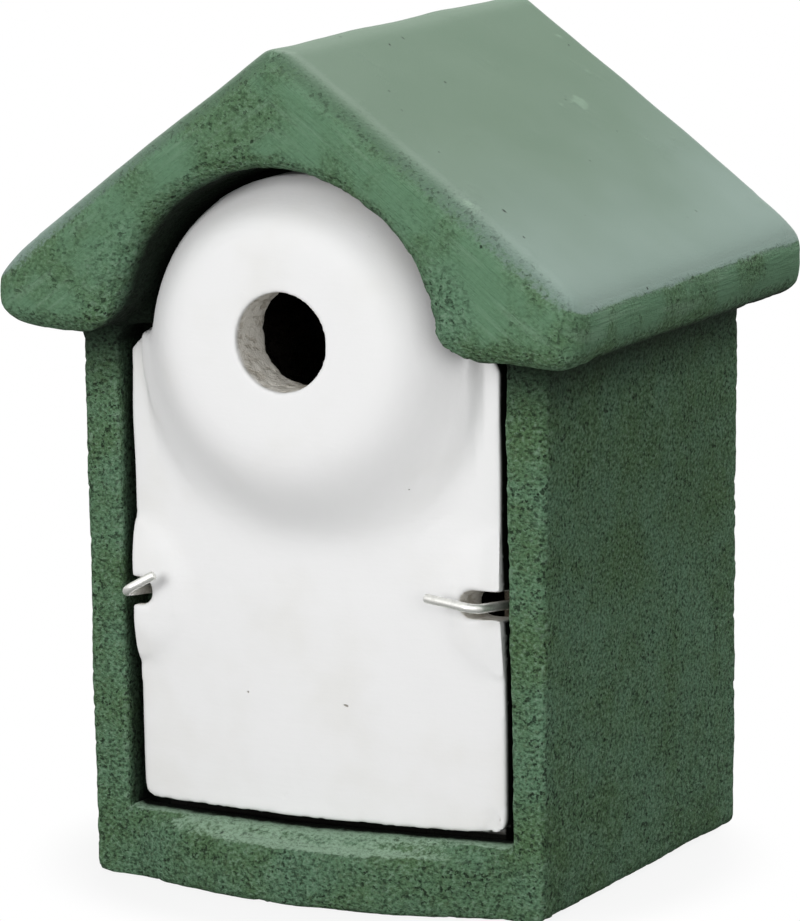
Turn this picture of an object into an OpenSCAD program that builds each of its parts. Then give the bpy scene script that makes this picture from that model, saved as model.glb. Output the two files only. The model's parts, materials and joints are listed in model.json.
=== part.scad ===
// Woodcrete nest box: one body casting with its gable roof, a lift-out front panel with a round
// raised entrance boss, two bent-wire hooks that hold the panel, and a keyhole hanger at the back.
// Millimetres, +Z up, front towards -Y, origin at the middle of the base under the roof.

/* [Body] */
// Width across the side walls at the foot
body_w = 163.4; // [150:0.2:198]
// How much wider the body is at the eaves, each side
body_draft = 2; // [0:0.1:3]
// Depth from the jamb faces to the back wall
body_d = 150.8; // [124:0.1:180]
// Height of the walls, up to the level underside of the eaves
wall_h = 183.2; // [168:0.2:222]
// Thickness of the side walls
side_wall = 22; // [18:0.5:26]
// Thickness of the back wall
back_wall = 20; // [14:0.5:30]
// Thickness of the floor
floor_t = 21; // [14:0.5:30]
// Rounding of the body's outer edges
body_edge_r = 4; // [1:0.5:6]
// How far the bowed sill stands forward of the jambs
sill_bow = 14.5; // [4:0.5:22]
// How far the bowed part of the sill stops short of each side of the body
sill_inset = 13.7; // [8:0.1:24]
// Height of the sill at its front edge
sill_front_h = 19.4; // [12:0.2:20]

/* [Roof] */
// How far the eaves stand out over the side walls
eave_overhang = 20.3; // [14:0.1:30]
// How far the roof stands forward over the jambs
front_overhang = 26.2; // [20:0.1:36]
// How far the roof stands back over the back wall
rear_overhang = 6; // [2:0.5:10]
// Pitch of the two slopes, in degrees
roof_pitch = 36.8; // [34:0.2:40]
// Height of the roof's edge at the eaves, before it is rounded
eave_h = 21.9; // [18:0.1:30]
// Thickness of the roof slopes over the nest cavity
roof_t = 20; // [14:0.5:26]
// Rounding of the ridge
ridge_r = 13; // [4:1:20]
// Rounding of the sloping edges and of the upper eave edges
rake_r = 10; // [3:0.5:11]
// Rounding of the lower eave edges
eave_r = 11; // [3:0.5:11]
// Fillet where the side walls meet the eaves
wall_fillet = 6; // [2:0.5:8]

/* [Front opening] */
// Radius of the arched opening under the roof
arch_r = 56; // [50:0.5:58]
// How far the centre of the arch lies below the eaves
arch_drop = 0.6; // [0:0.2:6]
// Flare of the arch's front edge
arch_flare = 8; // [2:0.5:10]
// Rounding where the arch runs out into the eaves
arch_foot_r = 20; // [8:1:26]
// Width of the jambs beside the opening at the foot
jamb_w = 11.2; // [9:0.1:12]
// How much narrower the opening is at its shoulders, each side
opening_draft = 0.8; // [0:0.1:4]
// Depth of the frame that the panel bears on
frame_t = 15; // [8:0.5:24]
// Width of the bearing that the frame gives the arched top of the panel
frame_bearing = 7; // [5:0.5:9]

/* [Front panel] */
// Gap around the panel
panel_gap = 2.8; // [2:0.1:4.5]
// How much wider the gap is at the foot of the panel, each side
foot_play = 1.2; // [0:0.1:3]
// Gap under the face of the panel, in front of its foot
foot_gap = 5.4; // [2:0.2:6]
// Thickness of the panel at its side edges
panel_t = 14; // [12:0.5:18]
// How far the side edges of the panel lie behind the jamb faces
panel_setback = 4; // [2:0.5:7]
// How far the middle of the panel bows forward of its side edges
panel_bow = 5.6; // [2:0.2:8]
// Rounding of the panel's shoulders
shoulder_r = 8; // [3:0.5:10]

/* [Entrance] */
// Diameter of the entrance hole
hole_d = 32; // [26:1:34]
// How far the entrance hole's centre lies above the arch's centre
hole_rise = 2.4; // [-2:0.2:4]
// How far the boss stands forward of the panel
boss_h = 18.9; // [14:0.1:24]
// Radius of the flat ring around the hole
boss_face_r = 35; // [28:0.5:38]
// Radius of the boss where it meets the panel
boss_base_r = 60; // [48:0.5:62]
// How far the boss's foot sits below the hole's centre
boss_drop = 10; // [0:0.5:12]
// Length of the entrance hole through the boss
hole_l = 20; // [14:0.5:26]

/* [Hooks] */
// Diameter of the hook wire
wire_d = 3; // [2:0.1:4]
// Running clearance of the wire in its bore, on the radius
wire_fit = 0.35; // [0.2:0.05:0.6]
// How far each hook's axis lies inside the edge of the jamb's foot
hook_inset = 6.2; // [5:0.1:8]
// Height of the left hook's axis at the panel's face
hook_left_z = 96.2; // [60:0.1:140]
// Height of the right hook's axis at the panel's face
hook_right_z = 102.2; // [60:0.1:140]
// How far the left hook stands forward of the panel's middle
hook_left_reach = 7.2; // [5:0.1:14]
// How far the right hook stands forward of the panel's middle
hook_right_reach = 10.2; // [5:0.1:14]
// How far the hooks slope up towards the front, in degrees
hook_tilt = 7; // [0:1:8]
// Length of the left hook's arm
arm_left_l = 8; // [6:0.5:30]
// Length of the right hook's arm
arm_right_l = 15.5; // [6:0.5:30]
// Angle of the left arm above the level, in degrees
arm_left_rise = 32; // [0:1:60]
// Angle of the right arm above the level, in degrees
arm_right_rise = 5; // [0:1:60]
// How far the arms lean back towards the panel, in degrees
arm_lean = 12; // [0:1:16]
// Radius of the wire's bend, on its centre line
bend_r = 3.5; // [2.5:0.5:6]
// How deep each wire stands in the casting
wire_depth = 30; // [12:1:60]
// Radius of the flat pad around each hook
pad_r = 18; // [12:0.5:24]
// Width of the pad's blend into the panel
pad_blend = 9; // [4:0.5:12]
// How far the left pad stands forward of the panel's side edge
pad_left_h = 4; // [1:0.2:8]
// How far the right pad stands forward of the panel's side edge
pad_right_h = 4; // [1:0.2:8]
// Room above and below the wire in the notches that let the hooks through
notch_play = 3; // [2:0.2:5]
// Depth of the left notch from the panel's edge
notch_left_d = 7; // [6.5:0.5:16]
// Depth of the right notch from the panel's edge
notch_right_d = 14.5; // [6.5:0.5:16]

/* [Hanger] */
// Width of the hanger plate
plate_w = 64; // [60:1:80]
// Height of the hanger plate
plate_h = 30; // [26:1:40]
// Thickness of the hanger plate
plate_t = 2; // [1.5:0.1:3]
// How far the keyhole's round end lies below the eaves
keyhole_drop = 25; // [24:1:60]
// Diameter of the keyhole's round end
keyhole_d = 10; // [8:0.5:12]
// Width of the keyhole's slot
slot_w = 5; // [4:0.5:6]
// Length of the keyhole's slot above the round end
slot_l = 9; // [7:0.5:10]
// Depth of the pocket behind the keyhole
pocket_d = 9; // [6:0.5:11]
// Distance between the two plate screws
screw_span = 48; // [44:1:60]
// Diameter of the screw shanks
screw_d = 4; // [3:0.2:5]
// Diameter of the screw heads
head_d = 8; // [6:0.5:9]
// Height of the screw heads
head_h = 2.6; // [2:0.1:3]
// Length of the screws in the wall
screw_l = 14; // [8:1:16]

/* [Hidden] */
$fn = 64;
// Reach of the shapes that trim others, how far a cutter runs past its work, and small overlaps
far = 400;
past = 20;
eps = 0.01;
weld = 0.05;

paint_green = "#4f6f55";
panel_white = "#e6e6e2";
zinc = "#b9bcbb";

// Planes along the depth
roof_d = front_overhang + body_d + rear_overhang;
roof_front = -roof_d / 2;
roof_back = roof_d / 2;
body_back = roof_back - rear_overhang;
jamb_y = body_back - body_d;
panel_edge_y = jamb_y + panel_setback;
panel_mid_y = panel_edge_y - panel_bow;
panel_back_y = panel_edge_y + panel_t;
frame_back_y = panel_back_y + frame_t;
cavity_back_y = body_back - back_wall;
boss_face_y = panel_mid_y - boss_h;

// Half widths
foot_half = body_w / 2;
eave_half = foot_half + body_draft;
roof_half = foot_half + eave_overhang;
cavity_half = foot_half - side_wall;
sill_half = foot_half - sill_inset;
opening_foot = foot_half - jamb_w;
opening_top = opening_foot - opening_draft;
panel_foot = opening_foot - panel_gap - foot_play;
panel_arch_r = arch_r - panel_gap;
hook_x = opening_foot - hook_inset;

// Radii of the bowed faces
sill_r = (pow(sill_half, 2) + pow(sill_bow, 2)) / (2 * sill_bow);
panel_r = (pow(panel_foot, 2) + pow(panel_bow, 2)) / (2 * panel_bow);

// Heights
slope = tan(roof_pitch);
eave_top_z = wall_h + eave_h;
ridge_sharp_z = eave_top_z + slope * roof_half;
arch_z = wall_h - arch_drop;
hole_z = arch_z + hole_rise;
keyhole_z = wall_h - keyhole_drop;
ceiling_drop = roof_t / cos(roof_pitch);
panel_foot_z = floor_t + foot_gap;
tongue_setback = 9;

wire_r = wire_d / 2;
bore_r = wire_r + wire_fit;
boss_rings = 8;
boss_sides = 40;

// ---- Helpers ------------------------------------------------------------------------------

// Points of an arc about c, from angle a to angle b, with n steps
function arc(c, r, a, b, n = 10) =
    [for (i = [0 : n]) c + r * [cos(a + (b - a) * i / n), sin(a + (b - a) * i / n)]];

// The corner at p, between a and b, rounded to radius r; r of 0 keeps it sharp
function corner(a, p, b, r, n = 8) =
    let (u = (a - p) / norm(a - p), v = (b - p) / norm(b - p),
         half = acos(u * v) / 2,
         along = r / tan(half),
         mid = (u + v) / norm(u + v),
         c = p + mid * r / sin(half),
         s = p + u * along - c, e = p + v * along - c,
         from = atan2(s.y, s.x), turn = atan2(s.x * e.y - s.y * e.x, s * e))
    r <= 0 ? [p] : [for (i = [0 : n]) c + r * [cos(from + turn * i / n), sin(from + turn * i / n)]];

// An outline of [x, y, rounding] rows as points
function outline(rows) =
    let (n = len(rows), xy = [for (q = rows) [q.x, q.y]])
    [for (i = [0 : n - 1]) each corner(xy[(i + n - 1) % n], xy[i], xy[(i + 1) % n], rows[i].z)];

// Extrudes an (X, Z) outline from y0 to y1
module along_y(y0, y1) {
    translate([0, y1, 0]) rotate([90, 0, 0]) linear_extrude(y1 - y0) children();
}

// Turns an (r, y) profile about a line parallel to Y at (x, z)
module turned_y(x, z) {
    translate([x, 0, z]) rotate([-90, 0, 0]) rotate_extrude($fn = 96) children();
}

// ---- Roof ---------------------------------------------------------------------------------

// The gable's outer shape from the front: ridge, upper eave edges and lower eave edges rounded
module gable() {
    polygon(outline([[0, ridge_sharp_z, ridge_r], [roof_half, eave_top_z, rake_r],
                     [roof_half, wall_h, eave_r], [-roof_half, wall_h, eave_r],
                     [-roof_half, eave_top_z, rake_r]]));
}

// All that lies under one slope, with its front and back edges rounded along the rake
module under_slope(side) {
    translate([0, 0, ridge_sharp_z]) rotate([0, side * roof_pitch, 0]) rotate([90, 0, 90])
        linear_extrude(2 * far, center = true)
            polygon(outline([[roof_front, 0, rake_r], [roof_front, -far, 0],
                             [roof_back, -far, 0], [roof_back, 0, rake_r]]));
}

// The roof's plan, with its upright corners rounded
module roof_plan() {
    polygon(outline([[-roof_half, roof_front, rake_r], [roof_half, roof_front, rake_r],
                     [roof_half, roof_back, rake_r], [-roof_half, roof_back, rake_r]]));
}

// The roof's side view, with its lower front and back edges rounded
module roof_side() {
    polygon(outline([[roof_front, wall_h, eave_r], [roof_back, wall_h, eave_r],
                     [roof_back, far, 0], [roof_front, far, 0]]));
}

module roof_mass() {
    intersection() {
        along_y(roof_front, roof_back) gable();
        under_slope(1);
        under_slope(-1);
        linear_extrude(far) roof_plan();
        rotate([90, 0, 90]) linear_extrude(2 * far, center = true) roof_side();
    }
}

// ---- Body ---------------------------------------------------------------------------------

module body_front() {
    polygon(outline([[-foot_half, 0, body_edge_r], [foot_half, 0, body_edge_r],
                     [eave_half, wall_h + rake_r, 0], [-eave_half, wall_h + rake_r, 0]]));
}

module body_plan() {
    half = foot_half + body_draft;
    polygon(outline([[-half, jamb_y, body_edge_r], [half, jamb_y, body_edge_r],
                     [half, body_back, body_edge_r], [-half, body_back, body_edge_r]]));
}

// Fillet between one side wall and the underside of the eaves
module eave_fillet(side) {
    wall_x = eave_half - eps;
    top = wall_h + eps;
    along_y(jamb_y + body_edge_r, body_back - body_edge_r)
        polygon(concat([[side * wall_x, top], [side * (wall_x - 1), top - wall_fillet]],
                       [for (p = arc([wall_x + wall_fillet, top - wall_fillet], wall_fillet, 180, 90))
                            [side * p.x, p.y]]));
}

// The bowed sill: a segment of a disc with rounded edges, a little higher at the back
module sill() {
    rise = floor_t - sill_front_h;
    intersection() {
        translate([0, jamb_y - sill_bow + sill_r, 0]) rotate_extrude($fn = 128)
            polygon(outline([[0, 0, 0], [sill_r, 0, 3], [sill_r, sill_front_h, 3.5],
                             [sill_r - sill_bow, sill_front_h + rise, 0], [0, sill_front_h + rise, 0]]));
        translate([-foot_half, jamb_y - sill_bow, 0]) cube([body_w, sill_bow + 8, floor_t]);
    }
}

// The opening that the panel stands in, or with an inset of panel_gap the panel itself
module opening_shape(inset, foot, foot_z, foot_r) {
    top = opening_top - inset;
    ledge_z = arch_z + (panel_gap - inset) / 2;
    union() {
        polygon(outline([[-foot, foot_z, foot_r], [foot, foot_z, foot_r],
                         [top, ledge_z, shoulder_r], [-top, ledge_z, shoulder_r]]));
        translate([0, arch_z]) circle(arch_r - inset, $fn = 128);
    }
}

// The arch through the front of the roof, its feet rounded out into the eaves
module arch_shape() {
    reach = arch_r + arch_foot_r;
    rise = wall_h + arch_foot_r - arch_z;
    foot_x = sqrt(reach * reach - rise * rise);
    foot_a = atan2(rise, foot_x);
    right = concat(arc([foot_x, wall_h + arch_foot_r], arch_foot_r, 270, 180 + foot_a, 12),
                   arc([0, arch_z], arch_r, foot_a, 90, 32));
    n = len(right);
    polygon(concat([[-foot_x, wall_h - 20], [foot_x, wall_h - 20]], right,
                   [for (i = [n - 2 : -1 : 0]) [-right[i].x, right[i].y]]));
}

// Rounds the arch's front edge
module arch_trumpet() {
    intersection() {
        turned_y(0, arch_z)
            polygon(concat([[0, roof_front - 1], [arch_r + arch_flare, roof_front - 1]],
                           arc([arch_r + arch_flare, roof_front + arch_flare], arch_flare, 270, 180),
                           [[arch_r - 1, roof_front + arch_flare], [0, roof_front + arch_flare]]));
        translate([-far / 2, roof_front - 5, wall_h + 4]) cube([far, 30, far]);
    }
}

// The nest cavity behind the frame, its ceiling parallel to the slopes
module cavity_shape() {
    apex = ridge_sharp_z - ceiling_drop;
    polygon(outline([[-cavity_half, floor_t, 4], [cavity_half, floor_t, 4],
                     [cavity_half, apex - slope * cavity_half, 6], [0, apex, 14],
                     [-cavity_half, apex - slope * cavity_half, 6]]));
}

// The opening in the frame that the panel bears on
module frame_shape() {
    union() {
        polygon(outline([[-cavity_half, floor_t, 4], [cavity_half, floor_t, 4],
                         [cavity_half, arch_z - frame_bearing, 4],
                         [-cavity_half, arch_z - frame_bearing, 4]]));
        translate([0, arch_z]) circle(arch_r - panel_gap - frame_bearing, $fn = 128);
    }
}

// Places a hook or its bore: the axis runs along Y through the panel's face, and slopes by hook_tilt
module on_hook_axis(side, z) {
    translate([side * hook_x, panel_mid_y, z]) rotate([-hook_tilt, 0, 0]) children();
}

module hook_bore(side, z) {
    frame_at = panel_back_y - panel_mid_y;
    on_hook_axis(side, z) translate([0, frame_at - 2, 0]) rotate([-90, 0, 0])
        cylinder(h = wire_depth + 3, r = bore_r);
}

// Pocket behind the keyhole, for the head of the screw in the wall or post
module keyhole_pocket() {
    depth = pocket_d + 1;
    translate([0, body_back + 1, keyhole_z]) rotate([90, 0, 0]) {
        cylinder(h = depth, d = keyhole_d + 4);
        translate([0, slot_l, 0]) cylinder(h = depth, d = keyhole_d + 4);
        translate([-(keyhole_d + 4) / 2, 0, 0]) cube([keyhole_d + 4, slot_l, depth]);
    }
}

module body_casting() {
    color(paint_green) difference() {
        union() {
            intersection() {
                along_y(jamb_y, body_back) body_front();
                linear_extrude(far) body_plan();
            }
            eave_fillet(1);
            eave_fillet(-1);
            sill();
            roof_mass();
        }
        along_y(jamb_y - far, panel_back_y) intersection() {
            opening_shape(0, opening_foot, floor_t, 3);
            translate([-far / 2, 0]) square([far, arch_z + arch_r + 1]);
        }
        along_y(roof_front - 5, jamb_y + 1) arch_shape();
        arch_trumpet();
        along_y(panel_back_y - 1, frame_back_y + 1) frame_shape();
        along_y(frame_back_y, cavity_back_y) cavity_shape();
        hook_bore(-1, hook_left_z);
        hook_bore(1, hook_right_z);
        keyhole_pocket();
        for (side = [-1, 1]) screw_hole(side);
    }
}

// ---- Front panel --------------------------------------------------------------------------

// One ring of the boss: share t from foot to face, as [radius, distance forward, height]
function boss_ring(t) =
    [boss_base_r + (boss_face_r - boss_base_r) * pow(t, 1.25),
     boss_h * (1 - cos(180 * t)) / 2,
     hole_z - boss_drop * (1 - t)];

// The raised boss, lofted ring by ring from its foot in the panel to the flat ring at the hole
module boss_loft() {
    n = boss_sides;
    rings = concat([[boss_base_r, -panel_bow - 2, hole_z - boss_drop]],
                   [for (i = [0 : boss_rings]) boss_ring(i / boss_rings)]);
    points = [for (q = rings) for (k = [0 : n - 1])
                  [q.x * cos(360 * k / n), panel_mid_y - q.y, q.z + q.x * sin(360 * k / n)]];
    sides = [for (i = [0 : len(rings) - 2]) for (k = [0 : n - 1])
                 [i * n + k, (i + 1) * n + k, (i + 1) * n + (k + 1) % n, i * n + (k + 1) % n]];
    back = [[for (k = [0 : n - 1]) k]];
    face = [[for (k = [n - 1 : -1 : 0]) (len(rings) - 1) * n + k]];
    polyhedron(points = points, faces = concat(back, face, sides));
}

// The round flat pad around one hook, height forward of the panel's side edge
module hook_pad(side, z, height) {
    n = 12;
    face_y = panel_edge_y - height;
    foot_y = panel_edge_y + 2;
    turned_y(side * panel_foot, z)
        polygon(concat([[0, foot_y], [0, face_y]],
                       [for (i = [0 : n]) [pad_r + pad_blend * i / n,
                                           face_y + (height + 1) * (1 - cos(180 * i / n)) / 2]],
                       [[pad_r + pad_blend, foot_y]]));
}

// A notch in the side edge around the hook's wire, round at its inner end and depth deep
module hook_notch(side, z, depth) {
    r = wire_r + notch_play;
    inner = hook_x - (panel_foot - depth + r);
    long = panel_t + panel_bow + 2 * past;
    on_hook_axis(side, z) translate([0, -past, 0]) rotate([-90, 0, 0]) {
        translate([-side * inner, 0, 0]) cylinder(h = long, r = r);
        translate([side > 0 ? -inner : inner - past, -r, 0]) cube([past, 2 * r, long]);
    }
}

// The hollow behind the boss
module boss_hollow() {
    mouth_r = panel_arch_r - frame_bearing - 2;
    top_r = hole_d / 2 + 12;
    front_y = boss_face_y + hole_l;
    turned_y(0, hole_z - boss_drop / 2)
        polygon(outline([[0, front_y, 0], [0, panel_back_y + 1, 0],
                         [mouth_r, panel_back_y + 1, 0], [top_r, front_y, 6]]));
}

module panel_shape() {
    opening_shape(panel_gap, panel_foot, panel_foot_z, 5);
}

module front_panel() {
    color(panel_white) difference() {
        union() {
            intersection() {
                along_y(panel_mid_y - 1, panel_back_y) panel_shape();
                translate([0, panel_mid_y + panel_r, 0]) cylinder(h = far, r = panel_r, $fn = 256);
            }
            intersection() {
                along_y(boss_face_y - 1, panel_back_y - 1) panel_shape();
                union() {
                    boss_loft();
                    hook_pad(-1, hook_left_z, pad_left_h);
                    hook_pad(1, hook_right_z, pad_right_h);
                }
            }
            // Tongue under the face, that the panel stands on
            translate([-panel_foot + 4, panel_edge_y + tongue_setback, floor_t])
                cube([2 * panel_foot - 8, panel_t - tongue_setback, foot_gap + 2]);
        }
        hook_notch(-1, hook_left_z, notch_left_d);
        hook_notch(1, hook_right_z, notch_right_d);
        boss_hollow();
        translate([0, boss_face_y - 1, hole_z]) rotate([-90, 0, 0]) cylinder(h = hole_l + 2, d = hole_d);
    }
}

// ---- Hooks --------------------------------------------------------------------------------

// A wire hook on its own axis: its shank along Y from the panel's face, its arm pointing to -X and
// leaning back
module wire_hook(reach, arm_l) {
    turn = 90 + arm_lean;
    bend_y = bend_r - reach;
    shank_end = panel_back_y - panel_mid_y + wire_depth;
    translate([0, bend_y, 0]) rotate([-90, 0, 0]) cylinder(h = shank_end - bend_y, r = wire_r);
    translate([-bend_r, bend_y, 0]) {
        mirror([0, 1, 0]) rotate_extrude(angle = turn, $fn = 96) translate([bend_r, 0]) circle(wire_r);
        // The arm is a hair thinner than the bend, so that the two join cleanly
        rotate([0, 0, -turn]) translate([bend_r, weld, 0]) rotate([90, 0, 0])
            cylinder(h = arm_l + weld, r = wire_r - eps);
    }
}

module hook_left() {
    color(zinc) on_hook_axis(-1, hook_left_z) rotate([0, -arm_left_rise, 0]) mirror([1, 0, 0])
        wire_hook(hook_left_reach, arm_left_l);
}

module hook_right() {
    color(zinc) on_hook_axis(1, hook_right_z) rotate([0, arm_right_rise, 0])
        wire_hook(hook_right_reach, arm_right_l);
}

// ---- Hanger -------------------------------------------------------------------------------

module screw_hole(side) {
    translate([side * screw_span / 2, body_back + 1, keyhole_z]) rotate([90, 0, 0])
        cylinder(h = screw_l + 1.5, d = screw_d);
}

module hanger_plate() {
    top = keyhole_z + slot_l + plate_h / 2 - slot_l / 2;
    low = top - plate_h;
    half = plate_w / 2;
    color(zinc) difference() {
        along_y(body_back, body_back + plate_t)
            polygon(outline([[-half, low, 6], [half, low, 6], [half, top, 6], [-half, top, 6]]));
        translate([0, body_back - 1, 0]) rotate([-90, 0, 0]) {
            translate([0, -keyhole_z, 0]) cylinder(h = plate_t + 2, d = keyhole_d);
            translate([0, -keyhole_z - slot_l, 0]) cylinder(h = plate_t + 2, d = slot_w);
            translate([-slot_w / 2, -keyhole_z - slot_l, 0]) cube([slot_w, slot_l, plate_t + 2]);
            for (side = [-1, 1]) translate([side * screw_span / 2, -keyhole_z, 0])
                cylinder(h = plate_t + 2, d = screw_d + 0.6);
        }
    }
}

// A round-headed screw with a cross recess
module hanger_screw(side) {
    seat_y = body_back + plate_t;
    color(zinc) translate([side * screw_span / 2, seat_y, keyhole_z]) rotate([-90, 0, 0]) difference() {
        union() {
            intersection() {
                cylinder(h = head_h, d = head_d);
                translate([0, 0, head_h - head_d * 0.75]) sphere(d = head_d * 1.5);
            }
            translate([0, 0, -plate_t - screw_l]) cylinder(h = plate_t + screw_l + eps, d = screw_d);
        }
        for (a = [0, 90]) rotate([0, 0, a])
            translate([-head_d * 0.28, -head_d * 0.06, head_h * 0.45])
                cube([head_d * 0.56, head_d * 0.12, head_h]);
    }
}

module hanger_screw_left() { hanger_screw(-1); }
module hanger_screw_right() { hanger_screw(1); }

body_casting();
front_panel();
hook_left();
hook_right();
hanger_plate();
hanger_screw_left();
hanger_screw_right();
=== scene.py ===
"""Woodcrete nest box: the finish of its castings, wire hooks and hanger, on a plain pale stage."""

import json
import logging
import math
from dataclasses import dataclass
from enum import Enum

import bmesh
import bpy
import numpy as np
from mathutils import Matrix, Vector, noise


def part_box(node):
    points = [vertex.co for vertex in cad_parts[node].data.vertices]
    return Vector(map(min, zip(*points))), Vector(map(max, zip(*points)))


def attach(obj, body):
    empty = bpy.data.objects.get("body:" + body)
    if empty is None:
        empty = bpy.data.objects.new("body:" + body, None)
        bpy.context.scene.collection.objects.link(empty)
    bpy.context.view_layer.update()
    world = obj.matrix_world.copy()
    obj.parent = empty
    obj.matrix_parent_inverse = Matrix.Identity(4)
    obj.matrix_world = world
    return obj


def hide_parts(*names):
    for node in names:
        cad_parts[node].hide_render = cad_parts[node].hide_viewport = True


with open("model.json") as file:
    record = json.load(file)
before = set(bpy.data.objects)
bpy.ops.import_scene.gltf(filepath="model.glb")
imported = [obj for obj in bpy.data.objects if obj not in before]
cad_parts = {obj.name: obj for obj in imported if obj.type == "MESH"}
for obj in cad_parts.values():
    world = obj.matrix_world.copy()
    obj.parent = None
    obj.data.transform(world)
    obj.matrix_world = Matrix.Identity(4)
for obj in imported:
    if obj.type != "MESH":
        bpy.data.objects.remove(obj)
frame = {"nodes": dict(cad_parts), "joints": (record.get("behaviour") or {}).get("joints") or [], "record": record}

log = logging.getLogger("nest_box")

MM = 0.001
WELD = 0.002 * MM
NOISE_SEED = 1
HOOKS = ("left_hook", "right_hook")
Triple = tuple[float, float, float]
Colour = Triple


class Mark(Enum):
    """The masks that a casting's mesh carries for its paint."""

    HOLLOW = "hollow"
    CREST = "crest"
    RAW = "raw"
    TROWELLED = "trowelled"
    BRUSHED = "brushed"
    RUBBLE = "rubble"
    # Painted shade: near black where the opening, the gaps and the eaves' undersides lie in shade.
    SOILED = "soiled"


class Side(Enum):
    """Which side of the front a hook stands on, as the sign of its X."""

    LEFT = -1
    RIGHT = 1


# ---- Meshes --------------------------------------------------------------------------------


def smooth_step(low: float, high: float, values: np.ndarray) -> np.ndarray:
    """Rises smoothly from 0 at low to 1 at high.

    Args:
        low: Where the result is 0. It may be above high, for a falling step.
        high: Where the result is 1.
        values: The numbers to map.

    Returns:
        One share from 0 to 1 for each value.
    """
    share = np.clip((values - low) / (high - low), 0.0, 1.0)
    return share * share * (3.0 - 2.0 * share)


def places_of(mesh: bpy.types.Mesh) -> np.ndarray:
    """Returns the mesh's points as rows of x, y and z, in metres.

    Args:
        mesh: The mesh.

    Returns:
        Rows of x, y and z, in metres.
    """
    flat = np.empty(len(mesh.vertices) * 3, np.float32)
    mesh.vertices.foreach_get("co", flat)
    return flat.reshape(-1, 3).astype(float)


def normals_of(mesh: bpy.types.Mesh) -> np.ndarray:
    """Returns the mesh's point normals as rows of x, y and z.

    Args:
        mesh: The mesh.

    Returns:
        One unit row for each point.
    """
    flat = np.empty(len(mesh.vertices) * 3, np.float32)
    mesh.vertex_normals.foreach_get("vector", flat)
    return flat.reshape(-1, 3).astype(float)


def place(mesh: bpy.types.Mesh, places: np.ndarray) -> None:
    """Moves the mesh's points to the given rows of x, y and z."""
    mesh.vertices.foreach_set("co", places.astype(np.float32).ravel())
    mesh.update()


def new_piece(name: str, mesh: bpy.types.Mesh) -> bpy.types.Object:
    """Puts a mesh into the scene as a piece at the origin, shaded smooth.

    Args:
        name: The piece's name.
        mesh: Its mesh, in the frame's own coordinates.

    Returns:
        The new piece.
    """
    piece = bpy.data.objects.new(name, mesh)
    bpy.context.scene.collection.objects.link(piece)
    mesh.polygons.foreach_set("use_smooth", [True] * len(mesh.polygons))
    return piece


def merged_copy(node: str) -> bmesh.types.BMesh:
    """Copies a CAD node's mesh and merges its loose triangles into one surface.

    Args:
        node: The CAD node.

    Returns:
        The merged surface, to be freed after use.
    """
    bm = bmesh.new()
    bm.from_mesh(frame["nodes"][node].data)
    bmesh.ops.remove_doubles(bm, verts=bm.verts, dist=WELD)
    return bm


def to_mesh(bm: bmesh.types.BMesh, name: str) -> bpy.types.Mesh:
    """Writes a bmesh into a new mesh and frees it.

    Args:
        bm: The bmesh.
        name: The new mesh's name.

    Returns:
        The new mesh.
    """
    mesh = bpy.data.meshes.new(name)
    bm.to_mesh(mesh)
    bm.free()
    return mesh


def bake_modifiers(piece: bpy.types.Object) -> None:
    """Applies every modifier of a piece to its mesh.

    Args:
        piece: The piece.
    """
    graph = bpy.context.evaluated_depsgraph_get()
    graph.update()
    old = piece.data
    piece.data = bpy.data.meshes.new_from_object(piece.evaluated_get(graph))
    piece.modifiers.clear()
    piece.data.name = piece.name
    bpy.data.meshes.remove(old)


def remesh(piece: bpy.types.Object, size: float) -> None:
    """Rebuilds a closed piece from even cells, so that its surface can be worked.

    Args:
        piece: The piece.
        size: Width of a cell, in metres.
    """
    cells = piece.modifiers.new("even_cells", "REMESH")
    cells.mode = "VOXEL"
    cells.voxel_size = size
    cells.use_smooth_shade = True
    bake_modifiers(piece)


def thin_out(piece: bpy.types.Object, most: int) -> None:
    """Collapses the flattest triangles until at most the given number is left.

    Args:
        piece: The piece.
        most: Most triangles that it may keep.
    """
    have = sum(len(face.vertices) - 2 for face in piece.data.polygons)
    if have <= most:
        return
    thinner = piece.modifiers.new("thin_out", "DECIMATE")
    thinner.ratio = most / have
    bake_modifiers(piece)


def ease(mesh: bpy.types.Mesh, rounds: np.ndarray) -> None:
    """Wears a surface down, each point by its own number of smoothing rounds.

    Args:
        mesh: The mesh.
        rounds: How many rounds each point takes part in.
    """
    bm = bmesh.new()
    bm.from_mesh(mesh)
    bm.verts.ensure_lookup_table()
    done = 0
    for until in np.unique(rounds[rounds > 0]):
        worn = [bm.verts[i] for i in np.flatnonzero(rounds >= until)]
        for _ in range(int(until) - done):
            bmesh.ops.smooth_vert(bm, verts=worn, factor=0.5,
                                  use_axis_x=True, use_axis_y=True, use_axis_z=True)
        done = int(until)
    bm.to_mesh(mesh)
    bm.free()


def write_mark(mesh: bpy.types.Mesh, mark: Mark, values: np.ndarray) -> None:
    """Stores one mask on the mesh's points.

    Args:
        mesh: The mesh.
        mark: Which mask it is.
        values: One number from 0 to 1 for each point.
    """
    layer = mesh.attributes.new(mark.value, "FLOAT", "POINT")
    layer.data.foreach_set("value", np.clip(values, 0.0, 1.0).astype(np.float32))


def relief(mesh: bpy.types.Mesh) -> np.ndarray:
    """Measures how far each point stands proud of its neighbours.

    Args:
        mesh: The mesh.

    Returns:
        One height in metres for each point; hollows are below 0.
    """
    ends = np.empty(len(mesh.edges) * 2, np.int32)
    mesh.edges.foreach_get("vertices", ends)
    first, second = ends.reshape(-1, 2).T
    places = places_of(mesh)
    total = np.zeros_like(places)
    count = np.zeros(len(places))
    for here, there in ((first, second), (second, first)):
        np.add.at(total, here, places[there])
        np.add.at(count, here, 1.0)
    away = places - total / np.maximum(count, 1.0)[:, None]
    return np.einsum("ij,ij->i", away, normals_of(mesh))


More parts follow.
